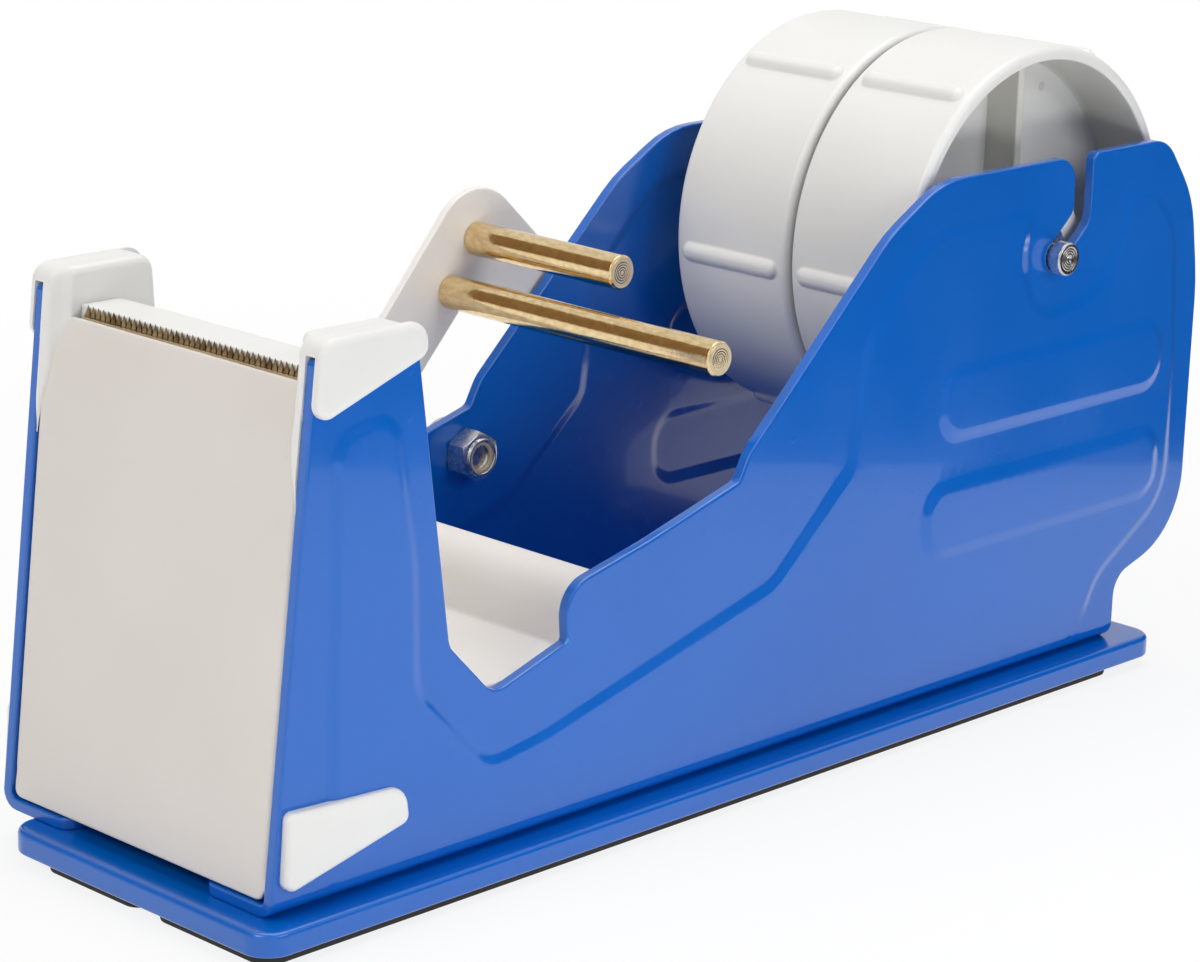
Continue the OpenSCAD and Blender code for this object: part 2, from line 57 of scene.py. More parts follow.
# Shared sizes
FOOT_T, BASE_T = 2.0, 4.0
BASE_TOP = FOOT_T + BASE_T
LEAN, FRONT_FOOT = radians(5.8), 4.1
COLUMN_TOP, COLUMN_BACK = 91.0, 33.6
BODY_L = 232.6
PANEL_IN, PANEL_OUT, SHEET = 31.0, 33.0, 2.0
FOOT_Z = 9.0
AXLE = (188.4, 82.6)
PIVOT = (104.6, 47.9)
# Each guide rod: its place (y, z) and the x of its free end
RODS = {"short": ((109.5, 85.3), 1.9), "long": ((103.5, 76.6), 30.3)}
ROD_R = 3.0
BRACKET_IN, BRACKET_T = 33.8, 1.5
WASHER_T = 0.7
CAP_LAP, CAP_IN, CAP_Z, CAP_SPLIT = 0.25, 27.0, 94.3, 84.3
PLATE_FACE, PLATE_T = 0.25, 1.0
ROLL_R, ROLL_LOW, ROLL_TURN = 40.0, 73.8, radians(19.8)
BLADE_FACE = PLATE_FACE + ROLL_R - (ROLL_R - PLATE_T) * cos(ROLL_TURN)
BLADE_T = 0.8
# Each side's sign along x, and its name
SIDES = ((1, "right"), (-1, "left"))

# Limits for the meshes: points nearer than this are one, turns below this are straight,
# a straight run of n points is bowed by this times n squared, grid points keep this far away
SAME_POINT, STRAIGHT, BOW, GRID_GAP = 1e-4, 3e-4, 4e-6, 0.45


def front_y(z):
    """The column's leaning front edge."""
    return FRONT_FOOT + z * tan(LEAN)


def place(points):
    return np.asarray(points, float) * MM + ZERO


# Outlines
def rounded(corners, step=1.2, arc=9.0, closed=True):
    """Points along a path with rounded corners (u, v, radius), none further apart than step."""
    pts, count = [], len(corners)
    for i, (u, v, radius) in enumerate(corners):
        here = np.array([u, v], float)
        if radius == 0 or (not closed and i in (0, count - 1)):
            pts.append(here)
            continue
        back = np.array(corners[i - 1][:2], float) - here
        ahead = np.array(corners[(i + 1) % count][:2], float) - here
        back, ahead = back / np.linalg.norm(back), ahead / np.linalg.norm(ahead)
        half = acos(max(-1, min(1, float(back @ ahead)))) / 2
        centre = here + (back + ahead) / np.linalg.norm(back + ahead) * radius / sin(half)
        a = here + back * radius / tan(half) - centre
        b = here + ahead * radius / tan(half) - centre
        start = atan2(a[1], a[0])
        turn = (atan2(b[1], b[0]) - start + 3 * pi) % (2 * pi) - pi
        n = max(2, ceil(abs(degrees(turn)) / arc))
        for k in range(n + 1):
            t = start + turn * k / n
            pts.append(centre + radius * np.array([cos(t), sin(t)]))
    out = [pts[0]]
    for p in pts[1:] + (pts[:1] if closed else []):
        last = out[-1]
        gap = np.linalg.norm(p - last)
        if gap >= SAME_POINT:
            n = max(1, ceil(gap / step))
            out += [last + (p - last) * k / n for k in range(1, n)] + [p]
    if closed:
        out.pop()
    return np.array(out)


def area(loop):
    x, y = loop[:, 0], loop[:, 1]
    return 0.5 * float(np.sum(x * np.roll(y, -1) - y * np.roll(x, -1)))


def outward(loop):
    """Mitred normals that point to the right of the direction of travel."""
    edge = np.roll(loop, -1, 0) - loop
    edge /= np.linalg.norm(edge, axis=1)[:, None]
    normal = np.stack([edge[:, 1], -edge[:, 0]], 1)
    before = np.roll(normal, 1, 0)
    total = normal + before
    return total / (1 + np.sum(normal * before, 1))[:, None]


def inside(points, loops):
    """Even-odd test of points against closed loops."""
    result = np.zeros(len(points), bool)
    x, y = points[:, 0], points[:, 1]
    for loop in loops:
        a, b = loop, np.roll(loop, -1, 0)
        for (x0, y0), (x1, y1) in zip(a, b):
            if y0 == y1:
                continue
            hit = (y0 > y) != (y1 > y)
            result ^= hit & (x < (x1 - x0) * (y - y0) / (y1 - y0) + x0)
    return result


def distance(points, loop):
    """Signed distance to a closed loop, negative inside."""
    a, b = loop, np.roll(loop, -1, 0)
    d = b - a
    length2 = np.sum(d * d, 1)
    best = np.full(len(points), 1e9)
    for i in range(0, len(points), 4000):
        p = points[i:i + 4000, None, :] - a[None]
        t = np.clip(np.sum(p * d[None], 2) / length2[None], 0, 1)
        best[i:i + 4000] = np.sqrt(np.min(np.sum((p - t[..., None] * d[None]) ** 2, 2), 1))
    best[inside(points, [loop])] *= -1
    return best


def smooth(t):
    t = np.clip(t, 0, 1)
    return t * t * (3 - 2 * t)


def circle(n):
    """Angles of n points all the way round."""
    return [2 * pi * k / n for k in range(n)]


def quarter(n):
    """Angles from nothing to a right angle in n steps."""
    return [pi / 2 * k / n for k in range(n + 1)]


def lattice(u, v, shift=0.0):
    """Grid of points, row by row, with every other row shifted along u."""
    u, v = np.meshgrid(u, v)
    u[::2] += shift
    return np.column_stack([u.ravel(), v.ravel()])


# Meshes
def add_object(name, data):
    made = bpy.data.objects.new(name, data)
    bpy.context.scene.collection.objects.link(made)
    return made


def add_mesh(name, verts, faces):
    """A mesh object from points in metres."""
    mesh = bpy.data.meshes.new(name)
    mesh.from_pydata([tuple(p) for p in verts], [], faces)
    return add_object(name, mesh)


def mesh_piece(name, verts, faces, finish, body, slot, replaces=(), sharp=42):
    """A piece from points in the drawing's millimetres."""
    piece = add_mesh(name, place(verts), faces)
    tidy(piece)
    return dress(piece, finish, body, replaces, sharp)


def tidy(piece):
    """Merges doubles and turns all faces outwards."""
    work = bmesh.new()
    work.from_mesh(piece.data)
    bmesh.ops.remove_doubles(work, verts=work.verts, dist=2e-6)
    bmesh.ops.recalc_face_normals(work, faces=work.faces)
    work.to_mesh(piece.data)
    work.free()


def bake(piece):
    """Turns the evaluated shape into the piece's own plain mesh."""
    evaluated = piece.evaluated_get(bpy.context.evaluated_depsgraph_get())
    mesh = bpy.data.meshes.new_from_object(evaluated)
    piece.modifiers.clear()
    piece.data = mesh
    mesh.name = piece.name


def dress(piece, finish, body, replaces, sharp):
    """Smooth shading, material and body for a finished piece, and hides the parts it replaces."""
    mesh = piece.data
    mesh.materials.clear()
    mesh.materials.append(finish)
    mesh.shade_smooth()
    mesh.set_sharp_from_angle(angle=radians(sharp))
    normals = piece.modifiers.new("normals", "WEIGHTED_NORMAL")
    normals.keep_sharp = True
    bake(piece)
    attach(piece, body)
    if replaces:
        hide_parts(*replaces)
    return piece


def skin(n, rings, start=0, closed=False):
    """Quads between rings of n points each, numbered on from start."""
    faces = []
    for i in range(rings if closed else rings - 1):
        a, b = start + i * n, start + (i + 1) % rings * n
        faces += [(a + k, a + (k + 1) % n, b + (k + 1) % n, b + k) for k in range(n)]
    return faces


def capped_skin(n, rings):
    """The same with a flat face across the first ring and one across the last."""
    return skin(n, rings) + [tuple(range(n))[::-1], tuple(range((rings - 1) * n, rings * n))]


def edge_rings(thick, front, back, steps, support):
    """Pairs (inset, depth) from the front face round a sheet's edge to its back face.

    An edge's rounding is one radius, or a pair: how far in from the outline and how far down."""
    (fu, fw), (bu, bw) = [r if isinstance(r, tuple) else (r, r) for r in (front, back)]
    rings = [(fu + support, 0.0)]
    for a in quarter(steps):
        rings.append((fu * (1 - sin(a)), fw * (1 - cos(a))))
    for a in quarter(steps)[::-1]:
        rings.append((bu * (1 - sin(a)), thick - bw * (1 - cos(a))))
    rings.append((bu + support, thick))
    return rings


def bowed(ring):
    """The ring with its straight runs bowed in a trace, so that no three points are in line."""
    n = len(ring)
    ahead, behind = np.roll(ring, -1, 0) - ring, ring - np.roll(ring, 1, 0)
    cross = behind[:, 0] * ahead[:, 1] - behind[:, 1] * ahead[:, 0]
    turn = np.abs(cross) / (np.linalg.norm(ahead, axis=1) * np.linalg.norm(behind, axis=1))
    marks = np.flatnonzero(turn > STRAIGHT)
    bow = np.zeros(n)
    for a, b in zip(marks, np.roll(marks, -1)):
        count = (b - a) % n
        for k in range(1, count):
            bow[(a + k) % n] = 4 * k / count * (1 - k / count) * count ** 2 * BOW
    return ring - outward(ring) * bow[:, None]


def sheet(loops, thick, front=0.3, back=None, steps=3, support=0.5, grid=None):
    """A plate with rounded edges, in (u, v, depth). loops holds its outline and any holes."""
    back = front if back is None else back
    loops = [loop if (area(loop) > 0) == (i == 0) else loop[::-1] for i, loop in enumerate(loops)]
    rings = edge_rings(thick, front, back, steps, support)
    faces, uvw, total = [], [], 0
    first, last = [], []
    for loop in loops:
        normal, n = outward(loop), len(loop)
        for inset, depth in rings:
            uvw.append(np.column_stack([loop - normal * inset, np.full(n, depth)]))
        faces += skin(n, len(rings), total)
        first.append((total, n))
        total += n * len(rings)
        last.append((total - n, n))
    for face_loops, flip in ((first, True), (last, False)):
        flat = np.concatenate([np.concatenate(uvw)[s:s + n, :2] for s, n in face_loops])
        index = [s + i for s, n in face_loops for i in range(n)]
        edges, k = [], 0
        rims, bows = [], []
        for s, n in face_loops:
            edges += [(k + i, k + (i + 1) % n) for i in range(n)]
            rims.append(flat[k:k + n])
            bows.append(bowed(rims[-1]))
            k += n
        plan = np.concatenate(bows)
        depth = 0.0 if flip else thick
        if grid is not None:
            keep = grid[inside(grid, rims)]
            near = np.min([np.abs(distance(keep, rim)) for rim in rims], 0) > GRID_GAP
            keep = keep[near]
            plan = np.concatenate([plan, keep])
            uvw.append(np.column_stack([keep, np.full(len(keep), depth)]))
            index += list(range(total, total + len(keep)))
            total += len(keep)
        middle = plan.mean(0)
        found = delaunay_2d_cdt([Vector(p) for p in plan - middle], edges, [], 0, 1e-7, True)
        tris, origin = found[2], found[3]
        if not all(origin):
            raise ValueError("outline crosses itself")
        source = [o[0] for o in origin]
        tris = np.array([[source[i] for i in t] for t in tris])
        tris = tris[inside(plan[tris].mean(1), bows)]
        index = np.array(index)
        tris = index[tris]
        faces += [tuple(t[::-1]) if flip else tuple(t) for t in tris.tolist()]
    return np.concatenate(uvw), faces


def on_side(x, uvw):
    """Points drawn in (y, z), set at x."""
    return np.column_stack([x, uvw[:, 0], uvw[:, 1]])


def turned(profile, segments=96):
    """Spins a closed profile of (radius, x) about x. Points on the axis become single points."""
    verts, rows = [], []
    for radius, x in profile:
        if radius < 1e-6:
            rows.append([len(verts)])
            verts.append((x, 0.0, 0.0))
        else:
            rows.append(list(range(len(verts), len(verts) + segments)))
            verts += [(x, radius * cos(a), radius * sin(a)) for a in circle(segments)]
    faces = []
    for row, ahead in zip(rows, rows[1:] + rows[:1]):
        if len(row) == 1 and len(ahead) == 1:
            continue
        for k in range(segments):
            n = (k + 1) % segments
            if len(row) == 1:
                faces.append((row[0], ahead[k], ahead[n]))
            elif len(ahead) == 1:
                faces.append((row[k], ahead[0], row[n]))
            else:
                faces.append((row[k], ahead[k], ahead[n], row[n]))
    return np.array(verts), faces


def ring_profile(bore, radius, x0, x1, edge):
    """Profile of a washer or sleeve whose outer corners are rounded."""
    return rounded([(bore, x0, 0), (radius, x0, edge), (radius, x1, edge), (bore, x1, 0)], 30, 30)


def turned_piece(name, profile, centre, finish, body, slot, replaces=(), sharp=42, segments=72):
    """A piece spun from its profile about the line through centre, which is (y, z)."""
    verts, faces = turned(profile, segments)
    verts = verts + np.array([0, *centre])
    return mesh_piece(name, verts, faces, finish, body, slot, replaces, sharp)


def joined(*parts):
    verts, faces, start = [], [], 0
    for v, f in parts:
        verts.append(np.asarray(v))
        faces += [tuple(i + start for i in face) for face in f]
        start += len(v)
    return np.concatenate(verts), faces


def leaning(points):
    """From (x, back, along) in the column's leaning frame to the drawing."""
    p = np.asarray(points, float)
    c, s = cos(LEAN), sin(LEAN)
    back, along = p[:, 1], p[:, 2]
    return np.column_stack([p[:, 0], FRONT_FOOT + back * c + along * s, -back * s + along * c])


# Materials
def set_range(node, start, end, low, high):
    """Lets a Map Range node run from low to high while its value runs from start to end."""
    for name, number in (("From Min", start), ("From Max", end), ("To Min", low), ("To Max", high)):
        node.inputs[name].default_value = number


class Finish:
    """A material being built: short ways to add and wire its nodes."""

    def __init__(self, name):
        self.material = bpy.data.materials.new(name)
        self.material.use_nodes = True
        self.nodes, self.links = self.material.node_tree.nodes, self.material.node_tree.links
        self.nodes.clear()
        self.shader = self.nodes.new("ShaderNodeBsdfPrincipled")
        result = self.nodes.new("ShaderNodeOutputMaterial")
        self.links.new(self.shader.outputs[0], result.inputs[0])
        self.coord = self.nodes.new("ShaderNodeTexCoord").outputs["Object"]

    def drive(self, name, value):
        """Sets a shader input from a node's output or to a plain number."""
        if isinstance(value, bpy.types.NodeSocket):
            self.links.new(value, self.shader.inputs[name])
        else:
            self.shader.inputs[name].default_value = value

    def noise(self, scale, detail, stretch=None, rough=0.5):
        coord = self.coord
        if stretch:
            mapping = self.nodes.new("ShaderNodeMapping")
            mapping.inputs["Scale"].default_value = stretch
            self.links.new(coord, mapping.inputs["Vector"])
            coord = mapping.outputs[0]
        texture = self.nodes.new("ShaderNodeTexNoise")
        for name, number in (("Scale", scale), ("Detail", detail), ("Roughness", rough)):
            texture.inputs[name].default_value = number
        self.links.new(coord, texture.inputs["Vector"])
        return texture.outputs["Fac"]

    def ramp(self, value, low, high, start=0.3, end=0.7):
        """Colour that runs from low to high while the value runs from start to end."""
        node = self.nodes.new("ShaderNodeValToRGB")
        self.links.new(value, node.inputs[0])
        for stop, at, colour in zip(node.color_ramp.elements, (start, end), (low, high)):
            stop.position, stop.color = at, (*colour, 1)
        return node.outputs[0]

    def span(self, value, low, high, start=0.0, end=1.0):
        """Number that runs from low to high while the value runs from start to end."""
        node = self.nodes.new("ShaderNodeMapRange")
        set_range(node, start, end, low, high)
        self.links.new(value, node.inputs["Value"])
        return node.outputs[0]

    def bump(self, *heights):
        """Chain of bumps, each a height output, a strength and a distance in mm."""
        normal = None
        for height, strength, depth in heights:
            node = self.nodes.new("ShaderNodeBump")
            node.inputs["Strength"].default_value = strength
            node.inputs["Distance"].default_value = depth * MM
            self.links.new(height, node.inputs["Height"])
            if normal is not None:
                self.links.new(normal, node.inputs["Normal"])
            normal = node.outputs[0]
        self.drive("Normal", normal)


def blue_enamel(name, low, high):
    """Baked enamel: deep blue and glossy, with faint orange peel, dust nibs and a worn sheen."""
    f = Finish(name)
    f.drive("Base Color", f.ramp(f.noise(14, 3), low, high))
    f.drive("Roughness", f.span(f.noise(55, 4), 0.16, 0.26, 0.35, 0.7))
    f.drive("IOR", 1.5)
    f.drive("Coat Weight", 0.4)
    f.drive("Coat Roughness", 0.05)
    nib = f.ramp(f.noise(420, 0), (0, 0, 0), (1, 1, 1), 0.76, 0.80)
    f.bump((f.noise(900, 1), 0.05, 0.05), (nib, 0.25, 0.06))
    return f.material


def white_paint(name, low, high):
    """Satin white powder coat on sheet steel."""
    f = Finish(name)
    f.drive("Base Color", f.ramp(f.noise(20, 3), low, high))
    f.drive("Roughness", f.span(f.noise(160, 3), 0.30, 0.42))
    f.bump((f.noise(1500, 2), 0.10, 0.03), (f.noise(260, 1), 0.08, 0.06))
    return f.material


def white_moulding(name, low, high):
    """Injection-moulded white plastic with faint sink marks."""
    f = Finish(name)
    f.drive("Base Color", f.ramp(f.noise(30, 3), low, high))
    f.drive("Roughness", f.span(f.noise(120, 3), 0.28, 0.40))
    f.drive("IOR", 1.49)
    f.bump((f.noise(1100, 2), 0.06, 0.03), (f.noise(85, 1), 0.10, 0.10))
    return f.material


def plated(name, low, high, rough, scale, stretch, depth, speck=0.0, metallic=1.0):
    """Plated metal with a directional grain."""
    f = Finish(name)
    f.drive("Metallic", metallic)
    f.drive("Base Color", f.ramp(f.noise(scale * 0.5, 3, stretch), low, high))
    grain = f.noise(scale, 3, stretch, 0.6)
    f.drive("Roughness", f.span(grain, rough * 0.75, rough * 1.35))
    heights = [(grain, 0.25, depth)]
    if speck:
        heights.append((f.noise(1700, 2), speck, 0.05))
    f.bump(*heights)
    return f.material


def rubber():
    f = Finish("foot_rubber")
    tone = f.noise(60, 4)
    f.drive("Base Color", f.ramp(tone, (0.014, 0.013, 0.013), (0.03, 0.028, 0.027)))
    f.drive("Roughness", f.span(tone, 0.62, 0.85))
    f.bump((f.noise(900, 3), 0.35, 0.08))
    return f.material


BLUE = blue_enamel("blue_enamel", (0.0, 0.110, 0.500), (0.0, 0.125, 0.555))
# A lighter blue for the roundings along the panels' edges: a painted highlight.
BLUE_EDGE_HIGHLIGHT = blue_enamel("blue_enamel_painted_highlight", (0.01, 0.24, 0.72), (0.04, 0.32, 0.82))
WHITE_PAINT = white_paint("white_sheet_paint", (0.70, 0.655, 0.615), (0.75, 0.71, 0.67))
# A lighter copy of the same white sheet paint, for the chute and the guide plate: painted light
# that makes them brighter than the lamps do.
LIT_WHITE_PAINT = white_paint("white_sheet_paint_painted_light", (0.84, 0.80, 0.76), (0.87, 0.835, 0.80))
MOULDED = white_moulding("white_moulding", (0.79, 0.785, 0.76), (0.825, 0.82, 0.80))
# A darker, olive copy of the white moulding for the wheels' recesses: painted shade.
RIM_SHADE = white_moulding("white_moulding_painted_shade", (0.66, 0.65, 0.59), (0.72, 0.71, 0.65))
ZINC = plated("bright_zinc", (0.50, 0.50, 0.52), (0.72, 0.71, 0.69), 0.26, 900, None, 0.03, 0.10)
GOLD = plated("yellow_plate", (0.70, 0.51, 0.26), (0.89, 0.70, 0.41), 0.13, 2400, (0.5, 1, 1),
              0.02, 0.30)
BRONZE = plated("bronze_spring_steel", (0.09, 0.055, 0.025), (0.27, 0.19, 0.10), 0.26, 1500,
                (1, 1, 0.3), 0.05)
# The blade's body, below the teeth, is a lighter tan than the teeth.
TAN_EDGE = plated("blade_body_tan", (0.55, 0.45, 0.30), (0.72, 0.62, 0.46), 0.40, 900,
                  (0.2, 1, 1), 0.02)
FACED_END = plated("faced_rod_end", (0.60, 0.48, 0.32), (0.72, 0.60, 0.43), 0.45, 1200, None,
                   0.03, metallic=0.25)
RUBBER = rubber()


# Repeated pieces
def repeater():
    """Geometry Nodes tree that sets copies of a piece evenly round the x axis or along a line."""
    tree = bpy.data.node_groups.new("repeated_piece", "GeometryNodeTree")
    for label, kind in (("Piece", "Geometry"), ("Count", "Int"), ("Start Angle", "Float"),
                        ("Step Angle", "Float"), ("Centre", "Vector"), ("Start", "Vector"),
                        ("Step", "Vector"), ("Finish", "Material")):
        tree.interface.new_socket(label, in_out="INPUT", socket_type="NodeSocket" + kind)
    tree.interface.new_socket("Copies", in_out="OUTPUT", socket_type="NodeSocketGeometry")
    given, index, line, turn, angles, copies, real, shift, paint, result = (
        tree.nodes.new(kind) for kind in (
            "NodeGroupInput", "GeometryNodeInputIndex", "GeometryNodeMeshLine", "ShaderNodeMath",
            "ShaderNodeCombineXYZ", "GeometryNodeInstanceOnPoints", "GeometryNodeRealizeInstances",
            "GeometryNodeTransform", "GeometryNodeSetMaterial", "NodeGroupOutput"))
    line.mode, turn.operation = "OFFSET", "MULTIPLY_ADD"
    for source, output, target, socket in (
            (given, "Count", line, "Count"), (given, "Start", line, "Start Location"),
            (given, "Step", line, "Offset"), (index, 0, turn, 0), (given, "Step Angle", turn, 1),
            (given, "Start Angle", turn, 2), (turn, 0, angles, 0), (line, 0, copies, "Points"),
            (given, "Piece", copies, "Instance"), (angles, 0, copies, "Rotation"),
            (copies, 0, real, 0), (real, 0, shift, 0), (given, "Centre", shift, "Translation"),
            (shift, 0, paint, "Geometry"), (given, "Finish", paint, "Material"),
            (paint, 0, result, 0)):
        tree.links.new(source.outputs[output], target.inputs[socket])
    return tree


REPEATER = repeater()


def repeated(name, part, finish, body, count, centre, start=(0, 0, 0), step=(0, 0, 0),
             first=0.0, turn=0.0, replaces=(), sharp=42):
    """Copies of one small part, drawn in millimetres round its own zero; angles in degrees."""
    verts, faces = part
    piece = add_mesh(name, np.asarray(verts) * MM, faces)
    tidy(piece)
    copies = piece.modifiers.new("copies", "NODES")
    copies.node_group = REPEATER
    values = {"Count": count, "Centre": tuple(place(centre)), "Finish": finish,
              "Start Angle": radians(first), "Step Angle": radians(turn),
              "Start": tuple(np.array(start) * MM), "Step": tuple(np.array(step) * MM)}
    for item in REPEATER.interface.items_tree:
        if item.name in values:
            copies[item.identifier] = values[item.name]
    bake(piece)
    return dress(piece, finish, body, replaces, sharp)


# Side panels
FLANGE_W, BEND_R = 13.5, 3.0
BEND_L = BEND_R * pi / 2
NOTCH_Y, NOTCH_Z = 41.0, 41.5
PANEL_FRONT, PANEL_REAR = front_y(FOOT_Z), 213.0
UNFOLDED = [
    (PANEL_FRONT, FOOT_Z - BEND_L - FLANGE_W, 3), (PANEL_FRONT, FOOT_Z, 0),
    (front_y(COLUMN_TOP), COLUMN_TOP, 1), (COLUMN_BACK, COLUMN_TOP, 1), (NOTCH_Y, NOTCH_Z, 4),
    (50.6, 31.7, 4), (66.7, 36.8, 0.6),
    (66, 45.5, 6), (85, 49.9, 60), (106.3, 55.9, 2), (108.8, 60.6, 8), (142.3, 92.4, 26),
    (156, 100.2, 22), (193.22, 100.2, 5), (193.22, 90.1, 3), (184.87, 82.85, 2.49),
    (188.15, 79.07, 2.49), (198.22, 87.82, 4), (198.22, 100.2, 1.8), (220.5, 100.2, 8),
    (229.6, 88.4, 22), (BODY_L, 72, 40), (BODY_L, 23.6, 16), (PANEL_REAR, 17.8, 5),
    (PANEL_REAR, FOOT_Z, 0), (PANEL_REAR, FOOT_Z - BEND_L - FLANGE_W, 3)]
FIELD = [
    (16.6, -20, 0), (17.4, 78.4, 4), (28.8, 81, 4.5), (33.3, 56, 40), (33.9, 35.8, 8),
    (49.2, 20.4, 7), (62, 22.4, 30), (115.4, 36.4, 10), (134.4, 53.4, 4), (137.4, 75.6, 14),
    (153, 91.2, 16), (217, 91.2, 9), (224, 82.8, 12), (226.3, 58, 40), (226.3, 31.6, 12),
    (206.5, 19.5, 12), (188, -20, 0)]
SLOT_ZONE = [
    (189, 110, 0), (178.2, 83.5, 10), (183.5, 72, 8), (199, 73, 9), (206.3, 81, 8), (219, 110, 0)]
UPPER_RIB = [(158, 54.2, 5), (221.4, 54.2, 5), (221.4, 66, 5), (158, 66, 5)]
LOWER_RIB = [(154.7, 33, 5.5), (222, 33, 5), (222, 45.6, 5), (154.7, 45.6, 5.5)]
FIELD_H, RIB_H = 0.55, 0.6
# Each press mark's outline, and the width of the slope beside it
PRESS = {"field": (rounded(FIELD, 3), 2.6), "zone": (rounded(SLOT_ZONE, 3), 3.0),
         "upper": (rounded(UPPER_RIB, 3), 2.8), "lower": (rounded(LOWER_RIB, 3), 2.8)}


def pressed(points):
    """How far the sheet is pressed outwards at (y, z)."""
    p = np.asarray(points)[:, :2]
    part = {key: smooth(0.5 - distance(p, loop) / width) for key, (loop, width) in PRESS.items()}
    foot_rise, fade_from, fade_length, fade = 7, 84, 11, 0.75
    foot = smooth((p[:, 1] - FOOT_Z) / foot_rise)
    top = 1 - smooth((p[:, 1] - fade_from) / fade_length) * fade
    field = part["field"] * (1 - part["zone"])
    return FIELD_H * field * foot * top + RIB_H * (part["upper"] + part["lower"])


def press_grid():
    """Points close together where the sheet changes height or bends, and sparse elsewhere."""
    fine, coarse, bend_step, rear, top = 0.62, 3.2, 2.4, 234, 101
    p = lattice(np.arange(4, rear, fine), np.arange(-12, top, fine * 0.87), fine / 2)
    band = np.zeros(len(p), bool)
    for key, (loop, width) in PRESS.items():
        d = np.abs(distance(p, loop))
        band |= (d < width / 2 + 0.3) & ((key != "zone") | (p[:, 1] < 96))
    bend = np.arange(FOOT_Z - BEND_L, FOOT_Z + 0.1, BEND_L / 8)
    spots = [p[band & (p[:, 1] > FOOT_Z)], lattice(np.arange(4, rear, bend_step), bend)]
    p = lattice(np.arange(5, rear, coarse), np.arange(FOOT_Z + 2, top, coarse))
    clear = np.ones(len(p), bool)
    for loop, width in PRESS.values():
        clear &= np.abs(distance(p, loop)) > width / 2 + 1
    return np.concatenate(spots + [p[clear]])


def side_panels():
    uvw, faces = sheet([rounded(UNFOLDED, 1.0, 8)], SHEET, 0.32, 0.32, 3, 0.3, press_grid())
    y, s, depth = uvw.T
    height = pressed(uvw)
    turn = np.clip((FOOT_Z - s) / BEND_L, 0, 1) * pi / 2
    beyond = np.clip(FOOT_Z - BEND_L - s, 0, None)
    wall = s >= FOOT_Z
    radius = BEND_R - depth
    bent = PANEL_OUT - BEND_R + radius * np.cos(turn) - beyond
    x = np.where(wall, PANEL_OUT + height - depth, bent)
    z = np.where(wall, s, FOOT_Z - radius * np.sin(turn))
    highlight_reach = 0.13
    for side, name in SIDES:
        verts = np.column_stack([side * x, y, z])
        panel = mesh_piece("panel_" + name, verts, faces, BLUE, "frame", "blue_paint",
                           ["side_panel_" + name])
        # Faces on the rounding next to the outer face's outline take the lighter blue: a painted
        # highlight along the edges.
        panel.data.materials.append(BLUE_EDGE_HIGHLIGHT)
        corner = verts[(depth > 0.04) & (depth < 0.28)]
        rim = KDTree(len(corner))
        for k, point in enumerate(corner):
            rim.insert(point, k)
        rim.balance()
        for face in panel.data.polygons:
            away = rim.find((np.array(face.center) - ZERO) / MM)[2]
            face.material_index = int(away < highlight_reach)


# Base
def base():
    corners = [(-BASE_LEFT, 0, 5), (BASE_RIGHT, 0, 5), (BASE_RIGHT, BASE_L, 5),
               (-BASE_LEFT, BASE_L, 5)]
    uvw, faces = sheet([rounded(corners, 4, 6)], BASE_T, 1.0, 0.5, 5, 0.8)
    u, v, depth = uvw.T
    mesh_piece("base", np.column_stack([u, v, BASE_TOP - depth]), faces, BLUE, "frame",
               "blue_paint", ["base_plate"])
    split, half_gap, y0, y1, r = (BASE_RIGHT - BASE_LEFT) / 2 + 1, 1.75, 2, 210.5, 3
    for name, x0, x1 in (("left", -19, split - half_gap), ("right", split + half_gap, 35.2)):
        strip = rounded([(x0, y0, r), (x1, y0, r), (x1, y1, r), (x0, y1, r)], 4, 9)
        uvw, faces = sheet([strip], FOOT_T, 0.15, 0.4, 2, 0.5)
        u, v, depth = uvw.T
        mesh_piece("rubber_strip_" + name, np.column_stack([u, v, FOOT_T - depth]), faces, RUBBER,
                   "frame", "foot_rubber", ["foot_strip_" + name])


def foot_screws():
    """Button-head screws with a hex socket through the foot flanges."""
    verts, faces = socket_screw(2.8, 1.9, 1.15, 1.2, 1.5, 5.7)
    upright = np.column_stack([verts[:, 1], verts[:, 2], verts[:, 0]])
    for side, name in SIDES[::-1]:
        for k, (y, gap, count) in enumerate(((30, 82, 2), (200, 0, 1))):
            repeated("foot_screws_%s_%d" % (name, k), (upright, faces), ZINC, "frame",
                     count, (side * 21.5, y, BASE_TOP + SHEET), step=(0, gap, 0),
                     replaces=["base_screws"] if side < 0 and gap else ())


def socket_screw(head_r, head_h, socket_r, socket_depth, shank_r, shank_l):
    """Head with a hex socket: x is the distance above the seat, and the shank goes below it."""
    segments = 72
    floor = head_h - socket_depth
    verts = [(floor - 0.25, 0, 0)]

    def ring(radius, x, hexed=False):
        for a in circle(segments):
            r = radius / cos((a % (pi / 3)) - pi / 6) if hexed else radius
            verts.append((x, r * cos(a), r * sin(a)))

    ring(socket_r * 0.82, floor, True)
    ring(socket_r, floor + 0.02, True)
    ring(socket_r, head_h - 0.12, True)
    ring(socket_r + 0.15, head_h, True)
    top, low = socket_r * 1.25 + 0.2, 0.18
    for a in quarter(8)[1:-1]:
        ring(top + (head_r - top) * sin(a), head_h * (low + (1 - low) * cos(a) ** 0.9))
    ring(head_r, head_h * low)
    ring(head_r, head_h * 0.06)
    ring(head_r - 0.12, 0)
    ring(shank_r, 0)
    ring(shank_r, -shank_l + 0.4)
    ring(shank_r - 0.4, -shank_l)
    end = len(verts)
    verts.append((-shank_l, 0, 0))
    faces = skin(segments, (end - 1) // segments, 1)
    round_ = [(k, (k + 1) % segments) for k in range(segments)]
    faces += [(0, 1 + ahead, 1 + k) for k, ahead in round_]
    faces += [(end, end - segments + k, end - segments + ahead) for k, ahead in round_]
    return np.array(verts), faces


